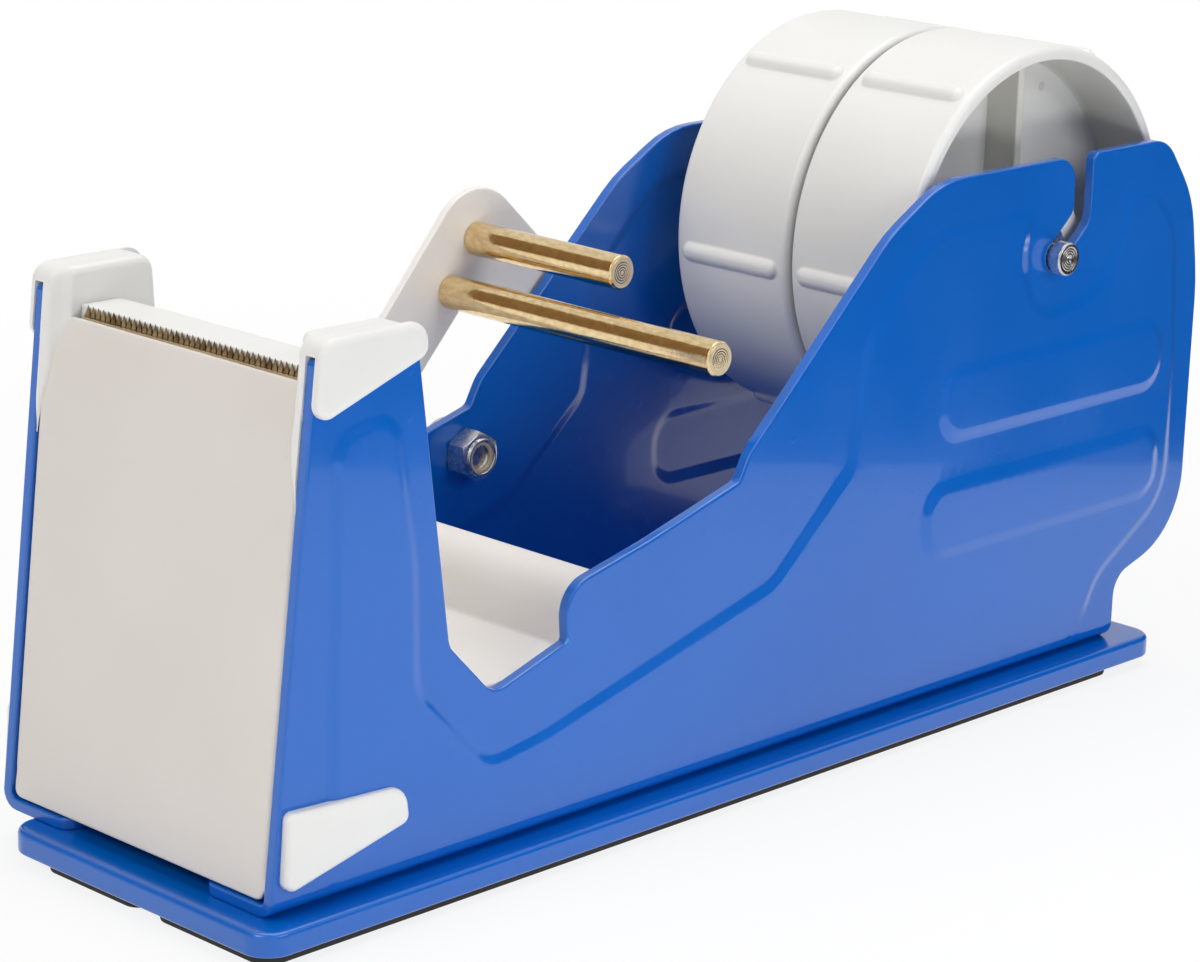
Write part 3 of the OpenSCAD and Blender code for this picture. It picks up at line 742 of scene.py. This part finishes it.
# Cutting column
def front_plate():
    """White sheet, its two sides bent back along the panels and its top rolled back."""
    radius, wing = 1.2, 9.4
    flat = PANEL_IN - 0.02 - radius
    bend = radius * pi / 2
    half = flat + bend + wing
    low, high, cut = 8.5, ROLL_LOW + ROLL_R * ROLL_TURN, CAP_SPLIT / cos(LEAN)
    fold = flat + bend
    corners = [(-half, low + 2.6, 0), (-fold, low + 2.6, 1.4), (-flat - 0.1, low, 2.4),
               (flat + 0.1, low, 2.4), (fold, low + 2.6, 1.4), (half, low + 2.6, 0),
               (half, cut, 0), (28.3, cut, 0.5), (27.25, high, 0.9),
               (-27.25, high, 0.9), (-28.3, cut, 0.5), (-half, cut, 0)]
    turns = np.arange(0, 8) * bend / 7
    columns = np.concatenate([-flat - turns, flat + turns, np.arange(-28, 28.1, 4)])
    rows = np.concatenate([np.arange(10, 70, 4.0), np.arange(70, high - 0.4, 1.1)])
    uvw, faces = sheet([rounded(corners, 2.0, 12)], PLATE_T, 0.42, 0.3, 4, 0.3,
                       lattice(columns, rows))
    u, v, depth = uvw.T
    side, far = np.sign(u), np.abs(u) - flat
    turn = np.clip(far / bend, 0, 1) * pi / 2
    r = radius - depth
    x = np.where(far > 0, side * (flat + r * np.sin(turn)), u)
    into = np.where(far > 0, radius - r * np.cos(turn) + np.clip(far - bend, 0, None), depth)
    roll = np.clip(v - ROLL_LOW, 0, None) / ROLL_R
    back = PLATE_FACE + ROLL_R - (ROLL_R - into) * np.cos(roll)
    along = np.minimum(v, ROLL_LOW) + (ROLL_R - into) * np.sin(roll)
    mesh_piece("front_sheet", leaning(np.column_stack([x, back, along])), faces, WHITE_PAINT,
               "frame", "white_paint", ["front_plate"])


def plate_at(s):
    """Depth of the front plate's face at the height s along the column."""
    return PLATE_FACE + ROLL_R - np.sqrt(ROLL_R ** 2 - np.clip(s - ROLL_LOW, 0, None) ** 2)


def blade():
    """Blade body with forty ground teeth, each a steep ridge that narrows to its tip."""
    root, tip, thick, pitch, count = 87.0, 88.95, BLADE_T, 1.27, 40
    half = count * pitch / 2 + 0.05
    corners = [(-half, 79.5, 0.4), (half, 79.5, 0.4), (half, root, 0), (-half, root, 0)]
    uvw, faces = sheet([rounded(corners, 4, 30)], thick, 0.08, 0.08, 1, 0.2)
    u, v, depth = uvw.T
    pts = leaning(np.column_stack([u, BLADE_FACE + depth, v / cos(LEAN)]))
    mesh_piece("blade_body", pts, faces, TAN_EDGE, "frame", "blade_bronze", ["blade"])
    w, h = pitch / 2, tip - root
    deep, mid = thick * 0.9, h * 0.56
    tooth = [(-w, 0.16, -0.05), (0, 0.02, -0.05), (w, 0.16, -0.05), (w, thick, -0.05),
             (-w, thick, -0.05), (-w, 0.34, 0.25), (0, -0.04, 0.05), (w, 0.34, 0.25),
             (w, deep, 0.25), (-w, deep, 0.25), (-w * 0.42, 0.42, mid), (0, 0.12, h * 0.5),
             (w * 0.42, 0.42, mid), (w * 0.42, 0.66, mid), (-w * 0.42, 0.66, mid), (0, 0.42, h)]
    faces = skin(5, 3) + [(10, 11, 15), (11, 12, 15), (12, 13, 15), (13, 14, 15), (14, 10, 15),
                          (4, 3, 2, 1, 0)]
    shaped = leaning(np.array(tooth)) - np.array([0, FRONT_FOOT, 0])
    start = leaning([(0, BLADE_FACE, root / cos(LEAN))])[0]
    first = -(count - 1) / 2 * pitch
    repeated("blade_teeth", (shaped, faces), BRONZE, "frame", count,
             (0, start[1], start[2]), start=(first, 0, 0), step=(pitch, 0, 0), sharp=25)


def side_view(outline, x0, x1, front, back=None, steps=4, support=0.25, grid=None, step=1.5,
              arc=9):
    """Solid drawn in (y, z) and running from x0, where its front edges are, to x1."""
    loop = outline if isinstance(outline, np.ndarray) else rounded(outline, step, arc)
    uvw, faces = sheet([loop], abs(x1 - x0), front, back, steps, support, grid)
    return on_side(x0 + copysign(1, x1 - x0) * uvw[:, 2], uvw), faces


def landing():
    def at(z):
        return front_y(z) + (BLADE_FACE + BLADE_T + 0.01) / cos(LEAN)
    top = side_view([(at(80), 80, 0), (at(88.2), 88.2, 0.3), (24.8, 88.2, 4), (33.2, 85.2, 1.2),
                     (33.2, 80, 0)], -CAP_IN + 0.03, CAP_IN - 0.03, 0.25, steps=3, support=0.04,
                    arc=7)
    under = side_view([(at(80), 80.1, 0), (at(84.2), 84.2, 0), (33.1, 84.2, 0), (33.1, 80.1, 0)],
                      -29.95, 29.95, 0.2, steps=2, support=0.2)
    mesh_piece("landing", *joined(top, under), MOULDED, "frame", "white_moulding",
               ["landing_block"])


def cap_y(z):
    return front_y(z) - CAP_LAP / cos(LEAN)


def cap_inner(depth):
    """x of a cap's inner face: narrow at the front, flaring out to the landing's end."""
    return 28.7 - (28.7 - CAP_IN) * smooth((depth - 0.9) / 1.8)


def cap_block():
    """The cap's inner half. Its front inner edge is round, and its face flares behind it."""
    edge, deep = 1.5, 2.5
    grid = [leaning(np.insert(lattice(*steps), 0, 0, axis=1))[:, 1:] for steps in (
        (np.arange(1.7, 5, 0.3), np.arange(80, 96, 1.1)),
        (np.arange(6.5, 24, 3), np.arange(80, 96, 2.2)))]
    outline = [(cap_y(80.6), 80.6, 2.2), (33.1, 82.6, 2.2), (32.2, CAP_Z, 3),
               (cap_y(CAP_Z), CAP_Z, 3.2)]
    verts, faces = side_view(outline, 0, edge + deep, (edge, 1.4), 0.0, 6, 0.2,
                             np.concatenate(grid), 1.2, 7)
    w, y, z = verts.T
    depth = (y - front_y(z)) * cos(LEAN)
    inner = cap_inner(depth)
    wide = PANEL_IN - 0.02 - inner - edge
    x = np.where(w < edge, inner + w, inner + edge + (w - edge) / deep * wide)
    return np.column_stack([x, y, z]), faces


def cap_leg():
    """Tapering leg that runs down in front of the plate, inside the panel's front edge."""
    tip, verts, arc = 68.2, [], 7
    rows = np.concatenate([np.linspace(tip, 74.5, 12), np.linspace(75.2, 86.5, 18)])
    for s in rows:
        proud = 0.02 * (1 - 2 * smooth((s - 84.6) / 1.0))
        end = float(plate_at(s)) + 0.08
        thin = smooth((s - tip) / 6.2) ** 0.9
        narrow = 2.0 * (1 - smooth((s - tip) / 11.5))
        front = PLATE_FACE + 0.06 + (-CAP_LAP - proud - PLATE_FACE - 0.06) * thin
        deep = min(1.5, end - front)
        turn = 1.4 * (1 - 0.7 * narrow / 2.0)
        verts += [(PANEL_IN - 0.12, end, s), (PANEL_IN - 0.12, front, s)]
        for a in quarter(arc):
            depth = front + deep * (1 - cos(a))
            side = min(PANEL_IN - 0.3, float(cap_inner(depth)) - proud + narrow)
            verts.append((min(side + turn * (1 - sin(a)), PANEL_IN - 0.2), depth, s))
        verts.append((min(float(cap_inner(end)) - proud + narrow, PANEL_IN - 0.3), end, s))
    return leaning(verts), capped_skin(arc + 4, len(rows))


def caps():
    """Moulded caps that straddle the tops of the panels."""
    flap = side_view([(cap_y(81), 81, 2.5), (34.9, 89, 2.2), (34.4, CAP_Z, 3.4),
                      (cap_y(CAP_Z), CAP_Z, 3.2)], 34.6, PANEL_OUT + 0.02, (1.7, 1.0), 0.0, 6,
                     0.25, None, 1.2, 7)
    roof, less = 91.6, 0.012
    whole = rounded([(cap_y(80) + less, 80, 0), (33.3 - less, 80, 0),
                     (32.2 - less, CAP_Z - less, 3), (cap_y(CAP_Z) + less, CAP_Z - less, 3.2)],
                    1.2, 7)
    above = whole[whole[:, 1] > roof + 0.3]
    over = side_view(np.concatenate([[(cap_y(roof) + less, roof), (32.4, roof)], above]),
                     30.4, 33.6, 0.0, 0.0, 1, 0.2)
    verts, faces = joined(flap, cap_block(), over, cap_leg())
    for side, name in SIDES:
        mesh_piece("cap_moulding_" + name, verts * np.array([side, 1, 1]), faces, MOULDED,
                   "frame", "white_moulding", ["cap_" + name], 50)


def bumpers():
    thick = 1.8
    outline = rounded([(6.4, 10, 1.8), (31.7, 15.9, 1.6), (30.8, 21.9, 3.6), (7.2, 23, 1.2)], 2, 9)
    uvw, faces = sheet([outline], thick, 0.85, 0.05, 5, 0.3)
    for side, name in SIDES:
        mesh_piece("bumper_pad_" + name, on_side(side * (PANEL_OUT + thick - uvw[:, 2]), uvw),
                   faces, MOULDED, "frame", "white_moulding", ["bumper_" + name])


def chute():
    """Bent white sheet that closes the notch: down, across and up over a rounded lip."""
    half, thick, top, inset = 30.9, 1.2, 80, 1.6
    slope = (NOTCH_Y - COLUMN_BACK) / (COLUMN_TOP - NOTCH_Z)
    path = rounded([(COLUMN_BACK + (COLUMN_TOP - top) * slope - inset, top, 0), (39.3, 42, 8),
                    (48.6, 32.5, 9), (72.6, 33, 0.8), (75, 41.6, 9), (81.2, 44.7, 1.5),
                    (82.8, 38, 0)], 3, 7, closed=False)
    along = np.concatenate([[0], np.cumsum(np.linalg.norm(np.diff(path, axis=0), axis=1))])
    total = along[-1]
    loop = [(-half, 0.0)] + [(half, s) for s in along] + [(-half, s) for s in along[:0:-1]]
    uvw, faces = sheet([np.array(loop)], thick, 0.2, 0.2, 2, 0.3)
    tangent = np.gradient(path, along, axis=0)
    tangent /= np.linalg.norm(tangent, axis=1)[:, None]
    u, s, depth = uvw.T
    y, z, ty, tz = (np.interp(np.clip(s, 0, total), along, track)
                    for track in (*path.T, *tangent.T))
    size = np.hypot(ty, tz)
    verts = np.column_stack([u, y + depth * tz / size, z - depth * ty / size])
    # The chute takes the lighter copy of the white paint: painted light.
    mesh_piece("chute", verts, faces, LIT_WHITE_PAINT, "frame", "white_paint", ["inner_chute"])


# Tape guide
def guide():
    outer = rounded([(59.4, 41, 14), (170.9, 41, 14), (109, 98.7, 10.2)], 2.5, 5)
    window = rounded([(82, 46.5, 2.5), (128.8, 60.5, 2.5), (110.4, 77.7, 3.5)], 2.5, 10)
    half, corner = 2.55, 2.54
    bore = rounded([(PIVOT[0] + y * half, PIVOT[1] + z * half, corner)
                    for y, z in ((-1, -1), (1, -1), (1, 1), (-1, 1))], 2, 15)
    uvw, faces = sheet([outer, window, bore], BRACKET_T, 0.3, 0.3, 3, 0.35)
    # The guide plate takes the lighter copy of the white paint: painted light.
    mesh_piece("guide_plate", on_side(-BRACKET_IN - uvw[:, 2], uvw), faces, LIT_WHITE_PAINT,
               "tape_guide", "white_paint", ["guide_bracket"])
    inner, back = -BRACKET_IN, -BRACKET_IN - BRACKET_T
    for name, (centre, end) in RODS.items():
        rod = [(0, back - 0.5, 0), (2.45, back - 0.5, 0.35), (2.7, back - 0.25, 0.1),
               (2.7, back, 0), (2.0, back, 0), (2.0, inner, 0), (2.75, inner, 0),
               (ROD_R, inner + 0.25, 0.1), (ROD_R, end - 0.35, 0.15), (2.65, end, 0.1)]
        for r in (2.3, 1.9, 1.5, 1.1, 0.7, 0.35):
            rod += [(r + 0.12, end, 0), (r, end - 0.05, 0), (r - 0.12, end, 0)]
        turned_piece("guide_rod_piece_" + name, rounded(rod + [(0, end - 0.06, 0)], 30, 20), centre,
                     GOLD, "tape_guide", "gold_rod", ["guide_rod_" + name], 55)
        disc = [(0, end - 0.02, 0)]
        for r in (0.5, 0.95, 1.4, 1.85, 2.3):
            disc += [(r - 0.14, end + 0.01, 0), (r, end - 0.05, 0), (r + 0.14, end + 0.015, 0)]
        disc += [(2.62, end + 0.01, 0), (2.62, end - 0.2, 0), (0, end - 0.2, 0)]
        turned_piece("rod_end_" + name, rounded(disc, 30, 20), centre, FACED_END, "tape_guide",
                     "gold_rod", sharp=60)


def pivot():
    """Button-head bolt outside, thin washer, and the lock nut inside the left panel."""
    seat = -(BRACKET_IN + BRACKET_T + 0.1)
    verts, faces = socket_screw(5.5, 2.4, 1.5, 1.5, 2.5, 8.0)
    verts = verts * np.array([-1, 1, 1]) + np.array([seat, *PIVOT])
    mesh_piece("pivot_screw", verts, faces, ZINC, "frame", "zinc_steel", ["pivot_bolt"])
    washer = ring_profile(2.65, 5, -PANEL_OUT - WASHER_T, -PANEL_OUT, 0.15)
    turned_piece("washer", washer, PIVOT, ZINC, "frame", "zinc_steel", ["pivot_washer"],
                 segments=64)
    lock_nut()


def lock_nut():
    """Hex nut with both faces chamfered, a low collar and a threaded bore."""
    segments, flat = 144, 4.0
    base_x = -PANEL_IN
    top_x, collar_x = base_x + 4.4, base_x + 5.0
    verts = []

    def ring(x, radius=None, chamfer=0):
        for a in circle(segments):
            hexed = flat / cos((a % (pi / 3)) - pi / 6)
            r, turn = radius or hexed, a + pi / 2
            drop = chamfer * (hexed - flat * 0.975) * tan(radians(30))
            verts.append((x - drop, PIVOT[0] + r * cos(turn), PIVOT[1] + r * sin(turn)))

    ring(base_x, 2.3)
    ring(base_x, 3.86)
    ring(base_x, None, -1)
    ring(top_x, None, 1)
    ring(top_x + 0.02, 3.86)
    for radius, x in ((3.5, top_x + 0.02), (3.42, top_x + 0.06), (3.36, collar_x - 0.14),
                      (3.26, collar_x - 0.03), (3.12, collar_x), (2.95, collar_x - 0.02),
                      (2.85, collar_x - 0.12), (2.8, collar_x - 0.55), (2.3, collar_x - 0.62),
                      (2.25, collar_x - 1.2)):
        ring(x, radius)
    x = collar_x - 1.3
    pitch = 0.8
    while x > base_x + 0.9:
        ring(x, 2.5)
        ring(x - pitch / 2, 2.12)
        x -= pitch
    faces = skin(segments, len(verts) // segments, closed=True)
    mesh_piece("nut", verts, faces, ZINC, "frame", "zinc_steel", ["pivot_nut"], 30)
    low, high = collar_x - 1.0, collar_x - 0.3
    insert = rounded([(2.2, low, 0), (2.78, low, 0), (2.78, high, 0.1), (2.2, high, 0.15)], 30, 30)
    turned_piece("nut_ring", insert, PIVOT, FACED_END, "frame", "zinc_steel", segments=64)


# Axle and wheels
AXLE_R, NECK_R, HEAD_IN, HEAD_OUT, COLLAR_IN, COLLAR_OUT = 3.0, 2.4, 33.8, 36.2, 29.7, 30.7
WHEEL_W, RIM_R, RIM_IN, HUB_R, WEB_X = 26.6, 37.0, 34.5, 12.0, 12.3
RIBS, SPOKES = 6, 3


def axle():
    """Stepped axle; both heads are faced on a lathe and show its fine rings and centre."""
    low = HEAD_OUT - 0.02
    head = [(0.0, HEAD_OUT - 0.42, 0), (0.38, HEAD_OUT - 0.12, 0)]
    for r in (0.75, 1.2, 1.65, 2.1):
        head += [(r - 0.12, low, 0), (r, HEAD_OUT - 0.10, 0), (r + 0.12, low, 0)]
    head += [(2.5, HEAD_OUT, 0), (2.72, HEAD_OUT, 0.1), (AXLE_R, HEAD_OUT - 0.3, 0.12),
             (AXLE_R, HEAD_IN + 0.1, 0.08), (2.9, HEAD_IN, 0), (NECK_R, HEAD_IN, 0),
             (NECK_R, COLLAR_OUT, 0), (AXLE_R, COLLAR_OUT, 0)]
    right = rounded(head, 30, 25, closed=False)
    left = np.column_stack([right[:, 0], -right[:, 1]])[::-1]
    turned_piece("axle_piece", np.concatenate([right, left]), AXLE, ZINC, "axle_set",
                 "zinc_steel", ["axle"], 35)
    for side, name in SIDES:
        collar = ring_profile(AXLE_R, 5.75, side * COLLAR_IN, side * COLLAR_OUT, 0.2)
        turned_piece("collar_" + name, collar, AXLE, ZINC, "axle_set", "zinc_steel",
                     ["axle_collar_" + name])
    sleeve = ring_profile(AXLE_R, 4.75, -29.4, -25.7, 0.3)
    turned_piece("spacer_sleeve", sleeve, AXLE, MOULDED, "axle_set", "white_moulding",
                 ["axle_spacer"], segments=64)


def grip_rib():
    """Half-round rib with round ends and a small fillet, to lie on the rim along x."""
    half, radius, sunk = 9.6, 1.9, 0.65
    edge = sqrt(radius ** 2 - sunk ** 2)
    rings = [(edge * sin(a), None) for a in np.linspace(0.1, 1.36, 8)]
    rings += [(edge + 0.03, 0.12), (edge + 0.12, 0.03), (edge + 0.3, -0.03), (edge + 0.3, -0.8)]
    verts = []
    for reach, rise in rings:
        rise = sqrt(radius ** 2 - reach ** 2) - sunk if rise is None else rise
        loop = [(half + reach * cos(a), reach * sin(a))
                for a in np.linspace(-pi / 2, pi / 2, 13)]
        loop += [(half - k * half * 2 / 6, reach) for k in range(1, 6)]
        loop += [(-x, -y) for x, y in loop]
        for x, across in loop:
            a, r = across / RIM_R, RIM_R + rise
            verts.append((x, -r * sin(a), r * cos(a)))
    return np.array(verts), capped_skin(len(loop), len(rings))


def spoke():
    """Tapered fin between hub and rim, on one face of the web. Its zero is on the axle line."""
    inner, outer = HUB_R - 0.6, RIM_IN + 0.4
    low, high = 1.15, 0.85
    depth = 6.5
    outline = rounded([(inner, -low - 0.2, 0), (outer, -low, 0), (outer, low, 0),
                       (inner, low + 0.2, 0)], 6, 30)
    uvw, faces = sheet([outline], depth + 0.5, 0.3, 0.02, 3, 0.25)
    narrow = 1 - (1 - high / low) * (1 - uvw[:, 2] / depth)
    return np.column_stack([-(depth - uvw[:, 2]), uvw[:, 1] * narrow, uvw[:, 0]]), faces


def wheels():
    rib, (fin, fin_faces), fin_out, mark_r, shift = grip_rib(), spoke(), 1.0, 30.5, 0.4
    half = [(3.05, 0.05, 0), (3.35, -0.3, 0), (HUB_R - 3.2, -0.3, 0), (HUB_R, -0.3, 0.9),
            (HUB_R + 0.35, WEB_X, 1.4), (RIM_IN - 0.25, WEB_X, 1.6), (RIM_IN + 0.1, 0, 0.4),
            (RIM_R, 0, 1.35)]
    loop = rounded(half + [(r, WHEEL_W - x, edge) for r, x, edge in half[::-1]], 60, 15)
    mark, mark_faces = turned(rounded([(0, 0.06, 0), (0.75, 0.06, 0), (0.9, 0.0, 0),
                                       (0.9, -shift, 0), (0, -shift, 0)], 30, 30), 24)
    for name, x0 in (("left", -25.1), ("right", 2.5)):
        body, centre = name + "_wheel", (x0 + WHEEL_W / 2, *AXLE)
        verts, faces = turned(loop, 192)
        shell = mesh_piece("wheel_%s_shell" % name, verts + np.array([x0, *AXLE]), faces, MOULDED,
                           body, "white_moulding",
                           ["wheel_%s_rim" % name, "wheel_%s_core" % name])
        # Faces round the inside of the recess between hub and rim take the darker copy: painted
        # shade.
        shell.data.materials.append(RIM_SHADE)
        for face in shell.data.polygons:
            x, y, z = (np.array(face.center) - ZERO) / MM - np.array([x0, *AXLE])
            within = HUB_R < hypot(y, z) < RIM_IN + 0.3 and 0.5 < x < WHEEL_W - 0.5
            if within and abs(face.normal.x) < 0.7:
                face.material_index = 1
        repeated("wheel_%s_ribs" % name, rib, MOULDED, body, RIBS, centre,
                 first=-85, turn=360 / RIBS)
        for side in (1, -1):
            face = "outer" if (side > 0) == (name == "right") else "inner"
            flipped = np.column_stack([side * (fin_out - fin[:, 0]), fin[:, 1:]])
            # The fins and the marks sit in the recess and take the darker copy too: painted shade.
            repeated("wheel_%s_%s_fins" % (name, face), (flipped, fin_faces), RIM_SHADE, body,
                     SPOKES, centre, turn=360 / SPOKES)
            raised = np.column_stack([side * (mark[:, 0] + fin_out), mark[:, 1],
                                      mark[:, 2] + mark_r])
            repeated("wheel_%s_%s_marks" % (name, face), (raised, mark_faces), RIM_SHADE, body,
                     RIBS, centre, first=-88, turn=360 / RIBS)


side_panels()
base()
foot_screws()
front_plate()
blade()
landing()
caps()
bumpers()
chute()
guide()
pivot()
axle()
wheels()


# Studio
def seen_directly(nodes, links):
    """1 for the rays of camera, reflections and see-through, 0 for light between surfaces."""
    rays = nodes.new("ShaderNodeLightPath").outputs
    value = rays["Is Camera Ray"]
    for kind in ("Is Glossy Ray", "Is Transmission Ray"):
        most = nodes.new("ShaderNodeMath")
        most.operation = "MAXIMUM"
        links.new(value, most.inputs[0])
        links.new(rays[kind], most.inputs[1])
        value = most.outputs[0]
    return value


def blended(nodes, links, share, plain, bright, output):
    """Sends the bright shader out by its share and the plain one for the rest."""
    mix = nodes.new("ShaderNodeMixShader")
    for socket, value in zip(mix.inputs, (share, plain.outputs[0], bright.outputs[0])):
        links.new(value, socket)
    links.new(mix.outputs[0], nodes.new(output).inputs[0])


def floor_paper():
    """White paper, matt for the light, that shows its own white to camera and reflections."""
    paper = bpy.data.materials.new("floor_paper")
    paper.use_nodes = True
    nodes, links = paper.node_tree.nodes, paper.node_tree.links
    nodes.clear()
    matt = nodes.new("ShaderNodeBsdfDiffuse")
    matt.inputs["Color"].default_value = (0.88, 0.88, 0.88, 1)
    glow = nodes.new("ShaderNodeEmission")
    glow.inputs["Color"].default_value = (1, 1, 1, 1)
    far = nodes.new("ShaderNodeVectorMath")
    far.operation = "LENGTH"
    links.new(nodes.new("ShaderNodeTexCoord").outputs["Object"], far.inputs[0])
    whiter = nodes.new("ShaderNodeMapRange")
    whiter.interpolation_type = "SMOOTHSTEP"
    set_range(whiter, 0.10, 0.42, 0.84, 1.0)
    links.new(far.outputs["Value"], whiter.inputs["Value"])
    share = nodes.new("ShaderNodeMath")
    share.operation = "MULTIPLY"
    links.new(seen_directly(nodes, links), share.inputs[0])
    links.new(whiter.outputs[0], share.inputs[1])
    blended(nodes, links, share.outputs[0], matt, glow, "ShaderNodeOutputMaterial")
    return paper


def studio():
    reach = 4
    floor = add_mesh("floor", [(-reach, -reach, 0), (reach, -reach, 0), (reach, reach, 0),
                               (-reach, reach, 0)], [(0, 1, 2, 3)])
    floor.data.materials.append(floor_paper())

    # Dark cards that only reflections see: one off to the right, one off to the front left
    for name, a, b, low, high, colour in (
            ("right_card", (0.42, -0.15), (-0.06, 0.44), 0.0, 0.16, (0.022, 0.018, 0.015)),
            ("left_card", (-0.62, -0.02), (-0.02, -0.62), 0.11, 0.56, (0.27, 0.17, 0.08))):
        paint = bpy.data.materials.new(name)
        paint.use_nodes = True
        shader = paint.node_tree.nodes["Principled BSDF"].inputs
        shader["Base Color"].default_value, shader["Roughness"].default_value = (*colour, 1), 0.9
        card = add_mesh(name, [(*a, low), (*b, low), (*b, high), (*a, high)], [(0, 1, 2, 3)])
        card.data.materials.append(paint)
        card.visible_camera = card.visible_diffuse = card.visible_shadow = False

    world = bpy.data.worlds.new("studio")
    bpy.context.scene.world = world
    world.use_nodes = True
    nodes, links = world.node_tree.nodes, world.node_tree.links
    nodes.clear()
    plain, white = nodes.new("ShaderNodeBackground"), nodes.new("ShaderNodeBackground")
    plain.inputs["Color"].default_value = (0.96, 0.98, 1.0, 1)
    plain.inputs["Strength"].default_value = 0.18
    blended(nodes, links, seen_directly(nodes, links), plain, white, "ShaderNodeOutputWorld")

    def softbox(name, where, aim, width, height, watts, colour=(1, 1, 1)):
        data = bpy.data.lights.new(name, "AREA")
        data.shape, data.size, data.size_y = "RECTANGLE", width, height
        data.energy, data.color = watts, colour
        lamp = add_object(name, data)
        lamp.location = where
        lamp.rotation_euler = (Vector(aim) - Vector(where)).to_track_quat("-Z", "Y").to_euler()
        return lamp

    softbox("top_box", (-0.04, 0.15, 0.95), (0, 0.02, 0.05), 0.75, 0.75, 5.7)
    left = softbox("left_box", (-0.52, -0.80, 0.62), (0, 0, 0.06), 0.7, 0.6, 2.7,
                   (1, 0.985, 0.965))
    softbox("right_box", (0.82, 0.16, 0.46), (0, 0.02, 0.06), 0.5, 0.3, 1.8)
    softbox("front_box", (0.02, -0.82, 0.70), (0, 0, 0.06), 0.6, 0.4, 2.6, (1, 0.98, 0.96))
    low = softbox("low_strip", (0.26, -0.06, 0.05), (0.04, -0.05, 0.02), 0.42, 0.05, 0.21)
    left.visible_glossy = low.visible_glossy = False


def camera():
    data = bpy.data.cameras.new("view")
    data.sensor_width, data.lens = 36.0, 110.5
    data.shift_x, data.shift_y = -0.0058, 0.0237
    data.clip_start, data.clip_end = 0.01, 20
    view = add_object("view", data)
    right, up = Vector((0.71586, 0.69775, 0.02641)), Vector((-0.21236, 0.18153, 0.96018))
    back = Vector((0.66517, -0.69296, 0.27812))
    where = Vector(place((421.88, -330.23, 219.75)))
    spin = Matrix((right, up, back)).transposed().to_4x4()
    view.matrix_world = Matrix.Translation(where) @ spin
    bpy.context.scene.camera = view


camera()
studio()
bpy.context.scene.view_settings.view_transform = "Standard"
bpy.context.view_layer.update()
